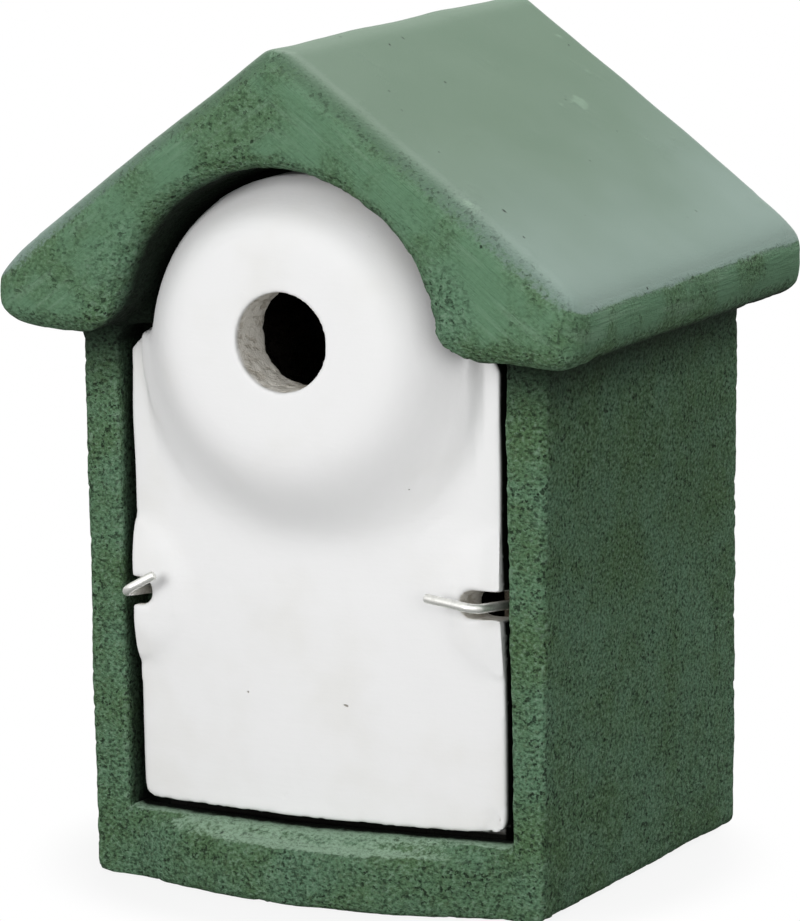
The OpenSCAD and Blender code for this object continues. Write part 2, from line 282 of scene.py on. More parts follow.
def mark_relief(mesh: bpy.types.Mesh, scale: float) -> None:
    """Marks a mesh's hollows, which the paints darken as painted shade, and its crests, which wear rubs.

    Args:
        mesh: The mesh.
        scale: The height over the neighbours that counts as a full mark, in metres.
    """
    height = relief(mesh)
    write_mark(mesh, Mark.HOLLOW, -height / scale)
    write_mark(mesh, Mark.CREST, height / scale)


@dataclass(frozen=True)
class Lumps:
    """Cloudy relief of one size.

    Attributes:
        size: Distance from lump to lump, in metres.
        height: Half of the relief's height, in metres.
        octaves: How many finer layers of lumps lie on the first.
        stretch: How much longer the lumps are along X, Y and Z.
        seed: Shifts the pattern.
    """

    size: float
    height: float
    octaves: int = 2
    stretch: Triple = (1.0, 1.0, 1.0)
    seed: float = 0.0

    def at(self, places: np.ndarray) -> np.ndarray:
        """Measures the relief.

        Args:
            places: Rows of x, y and z.

        Returns:
            The height at each place.
        """
        scaled = places / (self.size * np.array(self.stretch)) + self.seed
        cloud = [noise.fractal(Vector(p), 1.0, 2.0, self.octaves) for p in scaled]
        return self.height * np.array(cloud)


@dataclass(frozen=True)
class Bites:
    """Ragged hollows that run into each other, where grains have fallen out.

    Attributes:
        lumps: The cloud that places them; its height isn't used.
        start: The cloud's value, from -1 to 1, under which a hollow starts.
        depth: Depth of a hollow, in metres.
        slope: How much lower the cloud is where a hollow is at its deepest.
    """

    lumps: Lumps
    start: float
    depth: float
    slope: float = 0.22

    def at(self, places: np.ndarray) -> np.ndarray:
        """Returns the depth at each place."""
        cloud = self.lumps.at(places) / self.lumps.height
        return self.depth * smooth_step(self.start, self.start - self.slope, cloud)


@dataclass(frozen=True)
class Pits:
    """Air holes that the mould leaves in a casting.

    Attributes:
        cell: Distance from hole to hole, in metres.
        radius: Radius of the largest holes, in metres.
        depth: Depth of the largest holes, in metres.
        share: Share of the cells that hold one.
        ragged: How far noise shifts their rims, in cells.
        seed: Shifts the pattern.
        smallest: Size of the smallest holes, as a share of the largest.
    """

    cell: float
    radius: float
    depth: float
    share: float
    ragged: float = 0.25
    seed: float = 0.0
    smallest: float = 0.45

    def at(self, places: np.ndarray) -> np.ndarray:
        """Returns the depth at each place."""
        return np.array([self._depth(Vector(p)) for p in places / self.cell + self.seed])

    def _depth(self, p: Vector) -> float:
        """Measures the hole at one place.

        Args:
            p: The place, in cells.

        Returns:
            The depth there, in metres.
        """
        far, near_points = noise.voronoi(p + self.ragged * noise.noise_vector(p * 2.3))
        centre = near_points[0]
        chance = 0.5 + 0.5 * noise.cell(centre * 71.0)
        if chance > self.share:
            return 0.0
        size = self.smallest + (1.0 - self.smallest) * abs(noise.cell(centre * 37.0))
        reach = far[0] * self.cell / (self.radius * size)
        return self.depth * size * max(0.0, 1.0 - reach ** 3)


# ---- Shader work ---------------------------------------------------------------------------


class Bench:
    """A node tree and the short ways to add to it."""

    def __init__(self, tree: bpy.types.NodeTree) -> None:
        """Takes the tree to work on."""
        self.tree = tree

    def node(self, kind: str, **settings: object) -> bpy.types.Node:
        """Adds a node.

        Args:
            kind: The node's type name.
            **settings: Its properties.

        Returns:
            The node.
        """
        made = self.tree.nodes.new(kind)
        for name, value in settings.items():
            setattr(made, name, value)
        return made

    def feed(self, socket: bpy.types.NodeSocket, source: object) -> None:
        """Links a socket to another one, or sets it to a number, a vector or a colour.

        Args:
            socket: The socket to feed.
            source: A socket, a number, a vector or a colour.
        """
        if isinstance(source, bpy.types.NodeSocket):
            self.tree.links.new(source, socket)
        elif isinstance(source, (tuple, list)) and socket.type == "RGBA":
            socket.default_value = (*source[:3], 1.0)
        else:
            socket.default_value = source

    def maths(self, operation: str, *terms: object) -> bpy.types.NodeSocket:
        """Adds a Math node.

        Args:
            operation: What it works out.
            *terms: One to three sockets or numbers.

        Returns:
            The socket of the result.
        """
        made = self.node("ShaderNodeMath", operation=operation)
        for socket, term in zip(made.inputs, terms):
            self.feed(socket, term)
        return made.outputs[0]

    def ramp(self, value: object, low: float, high: float, to_low: float = 0.0,
             to_high: float = 1.0) -> bpy.types.NodeSocket:
        """Maps a value smoothly from one range to another.

        Args:
            value: The value.
            low: The value that becomes to_low.
            high: The value that becomes to_high. It may be below low.
            to_low: What low becomes.
            to_high: What high becomes.

        Returns:
            The socket of the result.
        """
        made = self.node("ShaderNodeMapRange", interpolation_type="SMOOTHSTEP")
        for name, term in (("Value", value), ("From Min", low), ("From Max", high),
                           ("To Min", to_low), ("To Max", to_high)):
            self.feed(made.inputs[name], term)
        return made.outputs["Result"]

    def mix(self, share: object, first: object, second: object) -> bpy.types.NodeSocket:
        """Mixes two colours.

        Args:
            share: Share of the second.
            first: The first colour.
            second: The second colour.

        Returns:
            The socket of the mixed colour.
        """
        made = self.node("ShaderNodeMix", data_type="RGBA")
        for index, term in ((0, share), (6, first), (7, second)):
            self.feed(made.inputs[index], term)
        return made.outputs[2]

    def blend(self, share: object, first: object, second: object) -> bpy.types.NodeSocket:
        """Mixes two numbers.

        Args:
            share: Share of the second.
            first: The first number.
            second: The second number.

        Returns:
            The socket of the mixed number.
        """
        made = self.node("ShaderNodeMix", data_type="FLOAT")
        for index, term in ((0, share), (2, first), (3, second)):
            self.feed(made.inputs[index], term)
        return made.outputs[0]

    def cloud(self, vector: object, size: float, detail: float = 2.0,
              roughness: float = 0.5) -> bpy.types.NodeSocket:
        """Adds a Noise texture.

        Args:
            vector: The coordinates.
            size: Size of its lumps, in metres.
            detail: How many finer layers it has.
            roughness: How strong each finer layer is.

        Returns:
            The socket of its value.
        """
        made = self.node("ShaderNodeTexNoise")
        self.feed(made.inputs["Vector"], vector)
        made.inputs["Scale"].default_value = 1.0 / size
        made.inputs["Detail"].default_value = detail
        made.inputs["Roughness"].default_value = roughness
        return made.outputs["Fac"]

    def stretched(self, vector: object, turn: Triple, scale: Triple) -> bpy.types.NodeSocket:
        """Turns coordinates and then scales them.

        Args:
            vector: The coordinates.
            turn: The turn about X, Y and Z, in degrees.
            scale: The scale along X, Y and Z.

        Returns:
            The socket of the new coordinates.
        """
        turned = self.node("ShaderNodeMapping")
        self.feed(turned.inputs["Vector"], vector)
        turned.inputs["Rotation"].default_value = [math.radians(a) for a in turn]
        scaled = self.node("ShaderNodeMapping")
        self.feed(scaled.inputs["Vector"], turned.outputs[0])
        scaled.inputs["Scale"].default_value = scale
        return scaled.outputs[0]

    def mark(self, mark: Mark) -> bpy.types.NodeSocket:
        """Returns one of the mesh's own masks."""
        return self.node("ShaderNodeAttribute", attribute_name=mark.value).outputs["Fac"]

    def group(self, tree: bpy.types.NodeTree, **inputs: object) -> bpy.types.Node:
        """Places a node group.

        Args:
            tree: The group.
            **inputs: Sockets or values for its inputs.

        Returns:
            The group's node.
        """
        made = self.node("ShaderNodeGroup")
        made.node_tree = tree
        for name, source in inputs.items():
            self.feed(made.inputs[name], source)
        return made

    def bump(self, height: object, distance: float) -> bpy.types.NodeSocket:
        """Adds a Bump node.

        Args:
            height: The height that it reads.
            distance: How high a height of 1 is, in metres.

        Returns:
            The socket of its normal.
        """
        made = self.node("ShaderNodeBump")
        made.inputs["Distance"].default_value = distance
        self.feed(made.inputs["Height"], height)
        return made.outputs["Normal"]


def new_group(name: str, inputs: dict[str, str],
              outputs: dict[str, str]) -> tuple[Bench, dict, dict]:
    """Starts a shader node group.

    Args:
        name: The group's name.
        inputs: Socket types by input name.
        outputs: Socket types by output name.

    Returns:
        The bench on its tree, the input sockets by name and the output sockets by name.
    """
    tree = bpy.data.node_groups.new(name, "ShaderNodeTree")
    for direction, sockets in (("INPUT", inputs), ("OUTPUT", outputs)):
        for label, kind in sockets.items():
            tree.interface.new_socket(name=label, in_out=direction, socket_type=kind)
    bench = Bench(tree)
    start, end = bench.node("NodeGroupInput"), bench.node("NodeGroupOutput")
    given = {socket.name: socket for socket in start.outputs if socket.name}
    made = {socket.name: socket for socket in end.inputs if socket.name}
    return bench, given, made


def air_holes() -> bpy.types.NodeTree:
    """Builds the group that scatters ragged air holes.

    Returns:
        A group with inputs Vector, Cell, Radius, Share and Ragged, and the output Mask.
    """
    number, vector = "NodeSocketFloat", "NodeSocketVector"
    bench, given, made = new_group(
        "air_holes",
        {"Vector": vector, "Cell": number, "Radius": number, "Share": number, "Ragged": number},
        {"Mask": number},
    )
    per_metre = bench.maths("DIVIDE", 1.0, given["Cell"])
    moved = shaken(bench, given["Vector"], bench.maths("MULTIPLY", per_metre, 1.6),
                   bench.maths("MULTIPLY", given["Ragged"], given["Cell"]))
    cells = bench.node("ShaderNodeTexVoronoi")
    bench.feed(cells.inputs["Vector"], moved)
    bench.feed(cells.inputs["Scale"], per_metre)
    chance = bench.node("ShaderNodeSeparateColor")
    bench.feed(chance.inputs[0], cells.outputs["Color"])
    size = bench.maths("MULTIPLY_ADD", chance.outputs[1], 0.6, 0.4)
    radius = bench.maths("MULTIPLY", size, given["Radius"])
    reach = bench.maths("DIVIDE", cells.outputs["Distance"], radius)
    hole = bench.ramp(reach, 1.0, 0.45)
    there = bench.maths("LESS_THAN", chance.outputs[0], given["Share"])
    bench.feed(made["Mask"], bench.maths("MULTIPLY", hole, there))
    return bench.tree


def shaken(bench: Bench, vector: object, per_metre: object, amount: object) -> bpy.types.NodeSocket:
    """Shifts coordinates by a noise.

    Args:
        bench: The bench to work on.
        vector: The coordinates.
        per_metre: Scale of the noise.
        amount: How far it shifts them, in metres.

    Returns:
        The shifted coordinates.
    """
    shake = bench.node("ShaderNodeTexNoise")
    bench.feed(shake.inputs["Vector"], vector)
    bench.feed(shake.inputs["Scale"], per_metre)
    centred = bench.node("ShaderNodeVectorMath", operation="SUBTRACT")
    bench.feed(centred.inputs[0], shake.outputs["Color"])
    centred.inputs[1].default_value = (0.5, 0.5, 0.5)
    moved = bench.node("ShaderNodeVectorMath", operation="MULTIPLY_ADD")
    for index, term in enumerate((centred.outputs[0], amount, vector)):
        bench.feed(moved.inputs[index], term)
    return moved.outputs[0]


def wood_fibre() -> bpy.types.NodeTree:
    """Builds the group for bare wood-fibre concrete: pale cement, brown chips and fine grain.

    Returns:
        A group with inputs Vector, Pale and Dark, and the outputs Colour and Height.
    """
    number, colour = "NodeSocketFloat", "NodeSocketColor"
    bench, given, made = new_group(
        "wood_fibre",
        {"Vector": "NodeSocketVector", "Pale": colour, "Dark": colour},
        {"Colour": colour, "Height": number},
    )
    laid = bench.stretched(given["Vector"], (20, 35, 10), (1.0, 0.35, 1.0))
    chips = bench.ramp(bench.cloud(laid, 2.2 * MM, 3.0, 0.6), 0.46, 0.66)
    cement = bench.ramp(bench.cloud(given["Vector"], 9 * MM, 2.0), 0.3, 0.7, 0.35, 1.0)
    share = bench.maths("MULTIPLY", chips, cement)
    bench.feed(made["Colour"], bench.mix(share, given["Pale"], given["Dark"]))
    grain = bench.cloud(given["Vector"], 0.9 * MM, 2.0)
    bench.feed(made["Height"], bench.maths("SUBTRACT", grain, share))
    return bench.tree


class Groups:
    """The shader node groups that several materials share, each built once."""

    def __init__(self) -> None:
        """Builds the groups."""
        self.air_holes = air_holes()
        self.wood_fibre = wood_fibre()


def new_material(name: str) -> tuple[Bench, bpy.types.Node]:
    """Starts a material.

    Args:
        name: The material's name.

    Returns:
        The bench on its tree, and its Principled BSDF.
    """
    material = bpy.data.materials.new(name)
    material.use_nodes = True
    return Bench(material.node_tree), material.node_tree.nodes["Principled BSDF"]


def dress(piece: bpy.types.Object, bench: Bench) -> None:
    """Gives a piece the one material that the bench belongs to.

    Args:
        piece: The piece.
        bench: The bench of the material.
    """
    piece.data.materials.clear()
    owner = next(m for m in bpy.data.materials if m.node_tree == bench.tree)
    piece.data.materials.append(owner)


@dataclass(frozen=True)
class Skin:
    """The patterns of the body's surface that its paint's colour and relief share.

    Attributes:
        where: The coordinates that the patterns read.
        along: The same, drawn out along the brush strokes of the roof's edges.
        trowelled: The mask of the trowelled faces.
        brushed: The mask of the brushed edges.
        mottle: Broad clouds.
        crumbs: The crumbly grain.
        closed: Where brushing has closed the grain.
        smooth: Where the face is smooth.
        porous: Where the grain stands open.
        holes: The air holes and the gaps between the grains.
    """

    where: bpy.types.NodeSocket
    along: bpy.types.NodeSocket
    trowelled: bpy.types.NodeSocket
    brushed: bpy.types.NodeSocket
    mottle: bpy.types.NodeSocket
    crumbs: bpy.types.NodeSocket
    closed: bpy.types.NodeSocket
    smooth: bpy.types.NodeSocket
    porous: bpy.types.NodeSocket
    holes: bpy.types.NodeSocket


@dataclass(frozen=True)
class GreenPaint:
    """Green masonry paint on porous wood-fibre concrete.

    Attributes:
        deep: The paint where it lies thin and dark.
        full: The paint at its fullest.
        pale: The chalky bloom on trowelled faces, with painted sheen low on the roof's slopes.
        moss: The greener part of the trowelled faces.
        pit_shade: Painted shade, close to black, inside air holes, hollows and the grain's low spots.
        black_shade: Painted shade, close to black, inside the opening and arch and on the walls under the eaves.
        sill_light: The sill's top, painted lighter as if it were more brightly lit.
        grit: Brown wood grains that show between the paint.
        rub_and_highlight: Paint rubbed pale on the crests, in sweeps and dabs; also the painted highlight on the
            grain.
        bare_pale: Pale part of the bare concrete inside.
        bare_dark: Dark part of the bare concrete inside.
        matt: Roughness of the rough faces.
        sleek: Roughness of the trowelled faces.
        gloss: How strongly the trowelled faces shine.
        slope: The angle of the brush strokes on the rake, in degrees.
        pale_low: Height under which the roof's slopes are all pale with bloom and painted sheen.
        pale_high: Height over which they are all greener.
        sill_low: Height under which trowelled faces take the sill's painted light.
        sill_high: Height over which they are the roof's.
        relief: Height of the fine relief.
    """

    deep: Colour = (0.084, 0.162, 0.074)
    full: Colour = (0.110, 0.212, 0.127)
    pale: Colour = (0.148, 0.213, 0.182)
    moss: Colour = (0.060, 0.116, 0.068)
    pit_shade: Colour = (0.007, 0.012, 0.007)
    black_shade: Colour = (0.003, 0.005, 0.003)
    sill_light: Colour = (0.260, 0.385, 0.275)
    grit: Colour = (0.080, 0.108, 0.056)
    rub_and_highlight: Colour = (0.200, 0.310, 0.215)
    bare_pale: Colour = (0.150, 0.130, 0.100)
    bare_dark: Colour = (0.060, 0.045, 0.030)
    matt: float = 0.85
    sleek: float = 0.52
    gloss: float = 0.55
    slope: float = 37
    pale_low: float = 228 * MM
    pale_high: float = 290 * MM
    sill_low: float = 35 * MM
    sill_high: float = 45 * MM
    relief: float = 1.1 * MM

    def material(self, groups: Groups) -> Bench:
        """Builds the material.

        Args:
            groups: The shared node groups.

        Returns:
            Its bench.
        """
        bench, shader = new_material("green_paint")
        skin = self.skin(bench, groups)
        # Painted shade: the hollows and air holes are darkened towards near black.
        hollow = bench.ramp(bench.mark(Mark.HOLLOW), 0.35, 1.2, 0.0, 0.7)
        dark = bench.maths("MAXIMUM", hollow, bench.maths("MULTIPLY", skin.holes, 0.8))
        paint = bench.mix(dark, self.worn(bench, skin), self.pit_shade)
        fibre = bench.group(groups.wood_fibre, Vector=skin.where,
                            Pale=self.bare_pale, Dark=self.bare_dark)
        coat = bench.mix(bench.mark(Mark.RAW), paint, fibre.outputs["Colour"])
        # Painted shade: near black inside the opening and arch, on the sill behind the panel and under the eaves.
        soiled = bench.mark(Mark.SOILED)
        bench.feed(shader.inputs["Base Color"], bench.mix(soiled, coat, self.black_shade))
        bench.feed(shader.inputs["Roughness"], bench.blend(skin.trowelled, self.matt, self.sleek))
        shader.inputs["Specular IOR Level"].default_value = 0.12
        shader.inputs["Coat Roughness"].default_value = self.sleek
        # The coat is kept off the holes and the painted shade.
        clean = bench.maths("SUBTRACT", 1.0, bench.maths("MAXIMUM", dark, soiled))
        shine = bench.maths("MULTIPLY", skin.trowelled, clean)
        bench.feed(shader.inputs["Coat Weight"], bench.maths("MULTIPLY", shine, self.gloss))
        bench.feed(shader.inputs["Normal"], bench.bump(self.height(bench, skin), self.relief))
        return bench

    def skin(self, bench: Bench, groups: Groups) -> Skin:
        """Lays out the patterns that the colour and the relief share.

        Args:
            bench: The bench to work on.
            groups: The shared node groups.

        Returns:
            The patterns.
        """
        where = bench.node("ShaderNodeTexCoord").outputs["Object"]
        trowelled, brushed = bench.mark(Mark.TROWELLED), bench.mark(Mark.BRUSHED)
        mottle = bench.cloud(where, 24 * MM, 4.0, 0.6)
        closed = bench.maths("MULTIPLY", brushed, bench.ramp(mottle, 0.38, 0.60, 0.35, 0.9))
        flat = bench.maths("MULTIPLY", trowelled, bench.ramp(mottle, 0.56, 0.70, 1.0, 0.85))
        smooth = bench.maths("MAXIMUM", flat, closed)
        rough = bench.maths("SUBTRACT", 1.0, smooth)
        porous = bench.maths("MAXIMUM", rough, bench.mark(Mark.RUBBLE))
        dragged = bench.stretched(where, (0, 0, 0), (0.75, 0.75, 1.0))
        crumbs = bench.cloud(dragged, 1.0 * MM, 3.0, 0.6)
        holes = self.holes(bench, where, porous, groups)
        return Skin(where, self.strokes(bench, where), trowelled, brushed, mottle, crumbs,
                    closed, smooth, porous, holes)

    def holes(self, bench: Bench, where: bpy.types.NodeSocket, porous: bpy.types.NodeSocket,
              groups: Groups) -> bpy.types.NodeSocket:
        """Lays out the air holes: small ones and gaps in the open grain, rare ones all over.

        Args:
            bench: The bench to work on.
            where: The coordinates.
            porous: Where the grain stands open.
            groups: The shared node groups.

        Returns:
            The socket of the holes' mask.
        """
        loose = bench.cloud(bench.stretched(where, (30, 10, 0), (0.9, 0.9, 1.0)), 1.5 * MM, 2.0)
        small = bench.group(groups.air_holes, Vector=where,
                            Cell=2.1 * MM, Radius=0.30, Share=0.45, Ragged=0.5)
        rare = bench.group(groups.air_holes, Vector=where,
                           Cell=8.0 * MM, Radius=0.11, Share=0.35, Ragged=0.4)
        clusters = bench.ramp(bench.cloud(where, 11 * MM, 3.0, 0.6), 0.38, 0.62, 0.35, 1.0)
        open_grain = bench.maths("MAXIMUM", bench.ramp(loose, 0.41, 0.34), small.outputs[0])
        holes = bench.maths("MULTIPLY", bench.maths("MULTIPLY", open_grain, clusters), porous)
        return bench.maths("MAXIMUM", holes, rare.outputs[0])

    def strokes(self, bench: Bench, where: bpy.types.NodeSocket) -> bpy.types.NodeSocket:
        """Draws the coordinates out along the rake, the same on the left as on the right.

        Args:
            bench: The bench to work on.
            where: The coordinates.

        Returns:
            The socket of the new coordinates.
        """
        axes = bench.node("ShaderNodeSeparateXYZ")
        bench.feed(axes.inputs[0], where)
        folded = bench.node("ShaderNodeCombineXYZ")
        outward = bench.maths("ABSOLUTE", axes.outputs[0])
        for socket, term in zip(folded.inputs, (outward, *axes.outputs[1:])):
            bench.feed(socket, term)
        return bench.stretched(folded.outputs[0], (0, -self.slope, 0), (0.07, 0.07, 1.0))

    def worn(self, bench: Bench, skin: Skin) -> bpy.types.NodeSocket:
        """Mixes the paint's colours: grain with painted shade and highlight, bloom and rubbed crests.

        Args:
            bench: The bench to work on.
            skin: The patterns of the surface.

        Returns:
            The socket of the colour.
        """
        paint = bench.mix(bench.ramp(skin.mottle, 0.30, 0.72), self.deep, self.full)
        flecks = bench.ramp(bench.cloud(skin.where, 1.3 * MM, 2.0), 0.52, 0.68, 0.0, 0.4)
        paint = bench.mix(bench.maths("MULTIPLY", flecks, skin.porous), paint, self.grit)
        paint = bench.mix(bench.maths("MULTIPLY", skin.closed, 0.8), paint, self.full)
        # Painted shade in the grain's low spots and a painted highlight on its tops.
        grain_shade = bench.ramp(skin.crumbs, 0.52, 0.36, 0.0, 0.6)
        grain_highlight = bench.ramp(skin.crumbs, 0.52, 0.68, 0.0, 0.6)
        paint = bench.mix(bench.maths("MULTIPLY", grain_shade, skin.porous), paint, self.pit_shade)
        paint = bench.mix(bench.maths("MULTIPLY", grain_highlight, skin.porous), paint, self.rub_and_highlight)
        lumpy = bench.maths("SUBTRACT", skin.crumbs, 0.5)
        crumbly = bench.maths("MULTIPLY_ADD", lumpy, 0.9, skin.trowelled)
        paint = bench.mix(bench.ramp(crumbly, 0.25, 0.62), paint, self.bloom_and_painted_light(bench, skin))
        sweeps = bench.cloud(skin.along, 3.0 * MM, 2.0)
        rubbed = bench.maths("MULTIPLY", bench.ramp(bench.mark(Mark.CREST), 0.25, 1.0), 0.6)
        swept = bench.maths("MULTIPLY", bench.ramp(sweeps, 0.52, 0.70, 0.0, 0.3), skin.brushed)
        dabs = bench.ramp(skin.mottle, 0.66, 0.74, 0.0, 0.35)
        dabs = bench.maths("MULTIPLY", dabs, skin.trowelled)
        pale = bench.maths("MAXIMUM", bench.maths("MAXIMUM", rubbed, swept), dabs)
        return bench.mix(pale, paint, self.rub_and_highlight)

    def bloom_and_painted_light(self, bench: Bench, skin: Skin) -> bpy.types.NodeSocket:
        """Colours trowelled faces: bloom and painted sheen low on the roof, greener above, painted light on the
        sill.

        Args:
            bench: The bench to work on.
            skin: The patterns of the surface.

        Returns:
            The socket of the colour.
        """
        axes = bench.node("ShaderNodeSeparateXYZ")
        bench.feed(axes.inputs[0], skin.where)
        drift = bench.maths("MULTIPLY", bench.cloud(skin.where, 90 * MM, 3.0, 0.5), 60 * MM)
        height = bench.maths("ADD", axes.outputs[2], drift)
        # Bloom with painted sheen: paler low on the roof's slopes, greener higher up.
        top = bench.mix(bench.ramp(height, self.pale_high, self.pale_low), self.moss, self.pale)
        # Painted light: the sill's top is lighter.
        on_sill = bench.ramp(axes.outputs[2], self.sill_high, self.sill_low)
        return bench.mix(on_sill, top, self.sill_light)

    def height(self, bench: Bench, skin: Skin) -> bpy.types.NodeSocket:
        """Adds up the fine relief: brush strokes, grain and crumbs, less the holes.

        Args:
            bench: The bench to work on.
            skin: The patterns of the surface.

        Returns:
            The socket of the height.
        """
        strokes = bench.cloud(skin.along, 0.9 * MM, 3.0, 0.6)
        grain = bench.cloud(skin.where, 0.7 * MM, 3.0, 0.6)
        height = bench.maths("MULTIPLY", bench.maths("MULTIPLY", strokes, skin.brushed), 0.7)
        fine = bench.maths("MULTIPLY", grain, bench.blend(skin.smooth, 0.6, 0.14))
        height = bench.maths("ADD", height, fine)
        coarse = bench.maths("MULTIPLY", bench.maths("MULTIPLY", skin.crumbs, skin.porous), 0.9)
        height = bench.maths("ADD", height, coarse)
        return bench.maths("SUBTRACT", height, bench.maths("MULTIPLY", skin.holes, 0.6))


@dataclass(frozen=True)
class WhitePaint:
    """Off-white masonry paint on a smooth casting, bare where it was never painted.

    Attributes:
        clean: The paint.
        warm: The paint where it lies thin.
        speck_and_shade: Small dark air holes, and the painted shade in the surface's hollows.
        bare_pale: Pale part of the bare concrete.
        bare_dark: Dark part of the bare concrete.
        gap_shade: Painted shade, near black, on the edges that stand in the gap and on the foot.
    """

    clean: Colour = (0.812, 0.812, 0.812)
    warm: Colour = (0.745, 0.740, 0.715)
    speck_and_shade: Colour = (0.330, 0.310, 0.270)
    bare_pale: Colour = (0.760, 0.735, 0.675)
    bare_dark: Colour = (0.480, 0.440, 0.370)
    gap_shade: Colour = (0.006, 0.006, 0.005)

    def material(self, groups: Groups) -> Bench:
        """Builds the material.

        Args:
            groups: The shared node groups.

        Returns:
            Its bench.
        """
        bench, shader = new_material("white_paint")
        where = bench.node("ShaderNodeTexCoord").outputs["Object"]
        raw, hollow = bench.mark(Mark.RAW), bench.mark(Mark.HOLLOW)
        mottle = bench.cloud(where, 45 * MM, 3.0, 0.6)
        grain = bench.cloud(where, 1.1 * MM, 3.0, 0.6)
        sweep = bench.cloud(bench.stretched(where, (0, 0, 0), (0.12, 1.0, 1.0)), 1.4 * MM, 2.0)
        specks = bench.group(groups.air_holes, Vector=where,
                             Cell=12 * MM, Radius=0.07, Share=0.30, Ragged=0.4)
        paint = bench.mix(bench.ramp(mottle, 0.45, 0.8, 0.0, 0.8), self.clean, self.warm)
        # Dark air holes, and painted shade in the hollows.
        dark = bench.maths("MAXIMUM", specks.outputs[0], bench.ramp(hollow, 0.3, 1.0, 0.0, 0.6))
        paint = bench.mix(dark, paint, self.speck_and_shade)
        fibre = bench.group(groups.wood_fibre, Vector=where,
                            Pale=self.bare_pale, Dark=self.bare_dark)
        coat = bench.mix(raw, paint, fibre.outputs["Colour"])
        # Painted shade: near black on the edges in the gaps and on the foot.
        soiled = bench.mark(Mark.SOILED)
        bench.feed(shader.inputs["Base Color"], bench.mix(soiled, coat, self.gap_shade))
        shader.inputs["Specular IOR Level"].default_value = 0.1
        bench.feed(shader.inputs["Roughness"], bench.blend(raw, 0.55, 0.9))
        skin = bench.maths("MULTIPLY", bench.maths("ADD", grain, sweep), 0.10)
        skin = bench.maths("SUBTRACT", skin, bench.maths("MULTIPLY", specks.outputs[0], 0.8))
        height = bench.blend(raw, skin, fibre.outputs["Height"])
        bench.feed(shader.inputs["Normal"], bench.bump(height, 0.35 * MM))
        return bench


@dataclass(frozen=True)
class Zinc:
    """Zinc on steel, dulled outdoors.

    Attributes:
        name: The material's name.
        bright: The fresh zinc.
        dull: The grey bloom on it.
        spangle: Size of the zinc's crystals, in metres.
        shine: Roughness of the bright zinc.
        bloom: Roughness of the grey bloom.
    """

    name: str
    bright: Colour = (0.80, 0.80, 0.78)
    dull: Colour = (0.52, 0.53, 0.52)
    spangle: float = 3.0 * MM
    shine: float = 0.32
    bloom: float = 0.62

    def material(self) -> Bench:
        """Builds the material.

        Returns:
            Its bench.
        """
        bench, shader = new_material(self.name)
        where = bench.node("ShaderNodeTexCoord").outputs["Object"]
        crystals = bench.node("ShaderNodeTexVoronoi")
        bench.feed(crystals.inputs["Vector"], where)
        crystals.inputs["Scale"].default_value = 1.0 / self.spangle
        tone = bench.node("ShaderNodeSeparateColor")
        bench.feed(tone.inputs[0], crystals.outputs["Color"])
        bloom = bench.cloud(where, 2.5 * MM, 4.0, 0.65)
        spangled = bench.maths("MULTIPLY", tone.outputs[0], 0.35)
        share = bench.maths("ADD", spangled, bench.ramp(bloom, 0.4, 0.7, 0.0, 0.65))
        bench.feed(shader.inputs["Base Color"], bench.mix(share, self.bright, self.dull))
        shader.inputs["Metallic"].default_value = 0.85
        bench.feed(shader.inputs["Roughness"], bench.blend(share, self.shine, self.bloom))
        fine = bench.cloud(where, 0.35 * MM, 2.0)
        bench.feed(shader.inputs["Normal"], bench.bump(fine, 0.03 * MM))
        return bench


# ---- What the frame gives ------------------------------------------------------------------


@dataclass(frozen=True)
class Bore:
    """A round hole that the record gives as a mount.

    Attributes:
        centre: Its middle.
        radius: Its radius, in metres.
        length: Its length, in metres.
    """

    centre: Vector
    radius: float
    length: float

    @classmethod
    def named(cls, name: str) -> "Bore":
        """Looks a mount up in the record.

        Args:
            name: The mount's name.

        Returns:
            Its bore.
        """
        mount = next(m for m in frame["record"]["mounts"] if m["name"] == name)
        dims = mount["dims"]
        return cls(Vector(mount["pos_m"]), dims["r_mm"] * MM, dims["length_mm"] * MM)


@dataclass(frozen=True)
class Swivel:
    """The axis that a hook turns on.

    Attributes:
        at: A point of the axis, level with the front panel's face.
        back: The direction of the axis into the casting.
    """

    at: Vector
    back: Vector

    @classmethod
    def of(cls, body: str) -> "Swivel":
        """Looks up the joint that carries a body.

        Args:
            body: The body's name.

        Returns:
            The joint's axis.
        """
        joint = next(j for j in frame["joints"] if j["child"] == body)
        axis = Vector(joint["axis"]).normalized()
        return cls(Vector(joint["pos_m"]), axis if axis.y > 0 else -axis)

    def distances(self, places: np.ndarray) -> tuple[np.ndarray, np.ndarray]:
        """Measures places against the axis.

        Args:
            places: Rows of x, y and z.

        Returns:
            How far along the axis each place lies, and its offset from the axis as rows.
        """
        along = (places - np.array(self.at)) @ np.array(self.back)
        return along, places - np.array(self.at) - along[:, None] * np.array(self.back)


# ---- Castings ------------------------------------------------------------------------------


